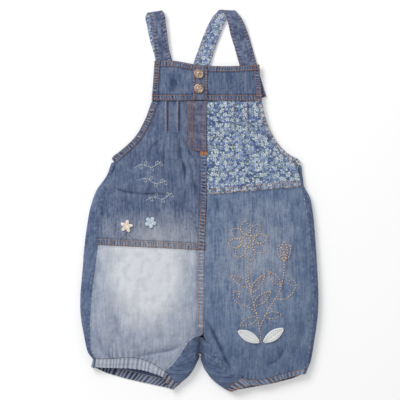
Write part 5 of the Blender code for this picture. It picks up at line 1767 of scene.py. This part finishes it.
def sewTopstitching():
    topLine = yoke["top"]
    bottomLine = yoke["bottom"]
    leftLine = [yoke["top"][0], yoke["bottom"][0]]
    rightLine = [yoke["top"][-1], yoke["bottom"][1]]
    band = ["yoke_band"]
    inner = yoke["hem"] - 0.8
    lines = [besideLine(topLine, -1.5), besideLine(topLine, -inner)]
    lines += [besideLine(bottomLine, 1.4), besideLine(bottomLine, inner)]
    lines += [besideLine(leftLine, 1.3), besideLine(leftLine, inner)]
    lines += [besideLine(rightLine, -1.3), besideLine(rightLine, -inner)]
    sew("yokeTopstitch", lines, band, "rust", seed=2)
    left, right, high, low = yoke["placket"]
    lines = [[(x, high - 1), (x, low + 1)] for x in (left + 1.4, right - 1.4)]
    lines += [[(left + 1.4, high - 1.4), (right - 1.4, high - 1.4)]]
    sew("placketTopstitch", lines, ["button_placket"], "rust", seed=3)

    uppers = ["front_left_upper", "front_left_leg"]
    arm = armholeLeft[2:]
    lines = [besideLine(arm, 1.4), besideLine(arm, 6.9)]
    seamCentre = [p for p in centreLine if p[1] < 70] + [(4.3, -172)]
    lines += [besideLine(seamCentre, -1.3), besideLine(seamCentre, -7.0)]
    lines += [besideLine(waistLeft, 1.4), besideLine(waistLeft, 6.8)]
    sew("leftTopstitch", lines, uppers, "rust", seed=4)
    lines = [[(-44.3, 129), (-44.3, 89)], [(-29.3, 129), (-29.3, 89)]]
    sew("leftTuckStitch", lines, uppers, "orange", pitch=3.3, seed=5)

    arm = armholeRight[2:]
    lines = [besideLine(arm, -1.2), besideLine(arm, -5.6)]
    lines += [besideLine(waistRight[::-1], 1.3), besideLine(waistRight[::-1], 6.2)]
    lines += [[(43.8, 128), (43.8, 93)], [(60.8, 128), (60.8, 91)]]
    sew("rightTopstitch", lines, ["front_right_upper"], "rust", seed=6)

    across, down = fly["corner"]
    edge = [(fly["left"], fly["top"] - 1), (fly["left"], fly["bottom"] + down)]
    for angle in np.radians(np.linspace(10, 80, 8)):
        edge.append(
            (fly["left"] + across * (1 - math.cos(angle)), fly["bottom"] + down * (1 - math.sin(angle)))
        )
    edge.append((-2.0, fly["bottom"] + 0.3))
    edge.append((8.0, fly["bottom"] + 0.3))
    lines = [besideLine(edge, 1.4), besideLine(edge, 6.4)]
    lines += [[(7.0, 128), (7.0, 66)]]
    sew("flyTopstitch", lines, ["fly_facing"], "rust", seed=7)
    tacks = []
    for x in (2.2, 7.6):
        for k in range(6):
            y = 62.5 - k * 0.85
            tacks.append([(x - 0.8, y), (x + 0.8, y + 0.15)])
    sew("barTacks", tacks, uppers, "orange", pitch=1.5, length=2.0, thickness=0.85, seed=8)

    lines = []
    for half, way in ((leftHalf, 1), (rightHalf, -1)):
        top = legEndLine(half)
        lines.append(besideLine(top, -1.6 * way if way == 1 else 1.6))
        lines.append(besideLine(top, -8.0 * way if way == 1 else 6.6))
    sew("casingTopstitch", lines[:2], ["casing_left_front"], "grey", thickness=0.6, seed=9)
    sew("rightCasingTopstitch", lines[2:], ["casing_right_front"], "rust", seed=13)
    lines = []
    for half in (leftHalf, rightHalf):
        top, bottom = half["levels"][-1], half["hem"]
        for share in (0.14, 0.8):
            level = mixLevels(top, bottom, share)
            lines.append([level[4:6], level[6:8]])
    sew("casingBackStitch", lines, ["casing_left_back", "casing_right_back"], "orange", seed=10)

    for side in ("left", "right"):
        front = straps[side + "Front"]
        lines = []
        for share in (0.075, 0.925):
            lines.append([(a + (c - a) * share, b + (d - b) * share) for a, b, c, d, _ in front])
        sew(f"{side}StrapStitch", lines, [f"strap_{side}_outer"], "rust", thickness=0.6, seed=11)
    back = straps["rightBack"][:5]
    lines = [[(a + (c - a) * s, b + (d - b) * s) for a, b, c, d, _ in back] for s in (0.075, 0.925)]
    sew("rightStrapBackStitch", lines, ["strap_right_lining"], "rust", thickness=0.6, seed=12)


# a stitched sprig of flowers, with three small sprigs in pale thread
def sewEmbroidery():
    carrier = ["front_right_leg"]
    stems = [
        curveThrough([(79, -184), (76, -160), (69, -132), (63, -104), (62, -80)]),
        curveThrough([(77, -166), (88, -142), (101, -122), (108, -98), (109, -80)]),
        curveThrough([(73, -146), (62, -138), (50, -134), (43, -126), (45, -118), (51, -119), (50, -125)]),
        curveThrough([(97, -128), (110, -128), (120, -120), (124, -108), (118, -102), (114, -108)]),
    ]
    outlines2 = []
    for k in range(8):
        angle = math.radians(45 * k + 10)
        root = (62 + 8.5 * math.cos(angle), -53 + 8.5 * math.sin(angle))
        tip = (62 + 26 * math.cos(angle), -53 + 26 * math.sin(angle))
        outlines2.append(petalLine(root, tip, 13.5, 0.75))
    outlines2 += [circle(62, -53, 7.2), circle(62, -53, 3.4)]
    for tip in ((101, -58), (109, -53), (117, -58)):
        outlines2.append(petalLine((109, -78), tip, 8.5, 0.8))
    outlines2 += [
        petalLine((70, -136), (92, -118), 10.5, 0.8),
        petalLine((65, -112), (40, -98), 10.5, 0.8),
        petalLine((66, -120), (84, -96), 9.0, 0.8),
        petalLine((104, -110), (88, -92), 8.5, 0.8),
        petalLine((74, -152), (52, -162), 9.0, 0.8),
        petalLine((84, -150), (106, -148), 9.0, 0.8),
    ]
    sew("sprigOutline", outlines2, carrier, "tan", pitch=3.5, length=2.7, thickness=1.3, seed=21)
    sew("sprigStems", stems, carrier, "tan", pitch=3.5, length=2.8, thickness=1.3, seed=22)
    veins = [
        [(72, -134), (88, -121)],
        [(62, -110), (45, -101)],
        [(68, -117), (81, -100)],
        [(102, -108), (91, -95)],
        [(109, -76), (109, -60)],
    ]
    sew("sprigVeins", veins, carrier, "orange", pitch=3.0, length=1.9, thickness=0.9, seed=23)
    for name, spec in leaves.items():
        base, tip = np.array(spec["base"], float), np.array(spec["tip"], float)
        run = unit(tip - base)
        rim = petalLine(base + run * 2.2, tip - run * 2.2, spec["width"] - 4.0, 0.98)
        vein = [tuple(base + run * 3), tuple(tip - run * 4)]
        sew(name + "_stitches", [rim, vein], [name], "grey", pitch=2.8, length=1.7, thickness=0.6, seed=24)

    sprigs = []
    for x, y, turn in ((-72, 44, 8), (-66, 25, -6), (-58, 2, 12)):
        stem = []
        for share in np.linspace(0, 1, 20):
            angle = math.radians(turn)
            px, py = 34 * share - 12, 2.6 * math.sin(share * 7.5)
            across, up = math.cos(angle), math.sin(angle)
            stem.append((x + px * across - py * up, y + px * up + py * across))
        sprigs.append(stem)
        for k, at in enumerate((3, 7, 11, 15, 18)):
            root = np.array(stem[at])
            way = 1 if k % 2 else -1
            lean = math.radians(turn + 58 * way)
            tip = root + 6.2 * np.array([math.cos(lean), math.sin(lean)])
            sprigs.append(petalLine(root, tip, 3.2, 0.8))
    sew("paleSprigs", sprigs, ["front_left_upper"], "pale", pitch=1.25, length=1.5, thickness=0.62, seed=25)
    stalks = [
        curveThrough([(-95.5, -42), (-98, -47), (-103, -51)]),
        curveThrough([(-95, -42), (-95, -48), (-96, -53)]),
        curveThrough([(-94, -42), (-91, -47), (-87, -50)]),
    ]
    sew("flowerStalks", stalks, ["front_left_upper"], "dark", pitch=1.3, length=1.5, thickness=0.55, seed=26)
    x, y = flowers["flower_cream"]["x"], flowers["flower_cream"]["y"]
    rays = [(math.cos(a), math.sin(a)) for a in np.radians([80, 152, 224, 296, 368])]
    eyes = [[(x + 2.4 * c, y + 2.4 * s), (x + 5 * c, y + 5 * s)] for c, s in rays]
    sew("creamFlowerStitches", eyes, ["flower_cream"], "peach", pitch=1.1, length=1.4, thickness=0.8, seed=27)
    eyes = [circle(-64, -29, 1.1, steps=8)]
    sew("blueFlowerStitches", eyes, ["flower_blue"], "tan", pitch=1.0, length=1.2, thickness=0.6, seed=28)


# Build every piece
buildUppers()
print("upper fronts made")
buildLegs()
print("legs made")
buildBacks()
print("backs made")
buildCasings()
print("casings made")
buildYoke()
buildFly()
print("yoke, placket and fly made")
buildStrap("left", 120)
buildStrap("right", 130)
print("straps made")
buildAppliques()
buildButtons()
print("appliques and buttons made")
sewTopstitching()
sewEmbroidery()
print("stitching made")


# Flat sizes of the cloth that shows, width and length in metres
def clothArea(obj):
    return sum(p.area for p in obj.data.polygons) / 2


flatSizes = {
    "front_left_upper": (0.150, 0.190),
    "front_left_leg": (0.152, 0.170),
    "front_right_upper": (0.135, 0.125),
    "front_right_leg": (0.150, 0.255),
    "back_left": (0.230, 0.350),
    "back_right": (0.230, 0.350),
    "casing_left_front": (0.130, 0.014),
    "casing_left_back": (0.200, 0.014),
    "casing_right_front": (0.110, 0.014),
    "casing_right_back": (0.180, 0.014),
    "yoke_band": (0.145, 0.054),
    "button_placket": (0.019, 0.045),
    "fly_facing": (0.026, 0.068),
    "strap_left_outer": (0.021, 0.275),
    "strap_left_lining": (0.021, 0.275),
    "strap_right_outer": (0.023, 0.300),
    "strap_right_lining": (0.023, 0.300),
    "flower_cream": (0.017, 0.017),
    "flower_blue": (0.016, 0.016),
    "applique_leaf_left": (0.014, 0.032),
    "applique_leaf_right": (0.014, 0.032),
}
for name, (width, length) in flatSizes.items():
    area = min(clothArea(madePieces[name]), width * length)
    print(f"  {name} {clothArea(madePieces[name]):.5f} of {width * length:.5f}")
    area = max(area, 0.31 * width * length)


# Floor, light and camera
studio = {
    "floorSize": 4.0,
    "keyEnergy": 34.0,
    "keySize": 1.1,
    "keyPlace": (-1.25, 1.3, 1.55),
    "worldStrength": 0.52,
    "lens": 135.0,
    "frameWidth": 0.52,
}


def buildStudio():
    tool = bmesh.new()
    bmesh.ops.create_grid(tool, x_segments=1, y_segments=1, size=studio["floorSize"] / 2)
    data = bpy.data.meshes.new("floor")
    tool.to_mesh(data)
    tool.free()
    floor = bpy.data.objects.new("floor", data)
    bpy.context.scene.collection.objects.link(floor)
    floor.location.z = -0.0004
    made = bpy.data.materials.new("paleFloor")
    made.use_nodes = True
    shader = made.node_tree.nodes["Principled BSDF"]
    shader.inputs["Base Color"].default_value = (0.93, 0.93, 0.93, 1)
    shader.inputs["Roughness"].default_value = 0.9
    shader.inputs["Specular IOR Level"].default_value = 0.0
    shader.inputs["Emission Color"].default_value = (1, 1, 1, 1)
    shader.inputs["Emission Strength"].default_value = 0.2
    data.materials.append(made)
    key = bpy.data.lights.new("keyLight", "AREA")
    key.energy = studio["keyEnergy"]
    key.size = studio["keySize"]
    light = bpy.data.objects.new("keyLight", key)
    light.location = studio["keyPlace"]
    light.rotation_euler = (Vector((0, 0, 0)) - light.location).to_track_quat("-Z", "Y").to_euler()
    bpy.context.scene.collection.objects.link(light)
    world = bpy.data.worlds.new("softWorld")
    world.use_nodes = True
    sky = world.node_tree.nodes["Background"]
    sky.inputs["Color"].default_value = (1, 1, 1, 1)
    sky.inputs["Strength"].default_value = studio["worldStrength"]
    bpy.context.scene.world = world
    lens = bpy.data.cameras.new("photoCamera")
    lens.lens = studio["lens"]
    lens.clip_end = 20
    camera = bpy.data.objects.new("photoCamera", lens)
    distance = studio["frameWidth"] * studio["lens"] / lens.sensor_width
    camera.location = (shift[0] * mm, shift[1] * mm, distance + 0.006)
    bpy.context.scene.collection.objects.link(camera)
    bpy.context.scene.camera = camera
    bpy.context.scene.view_settings.view_transform = "Standard"


buildStudio()
print("studio made")
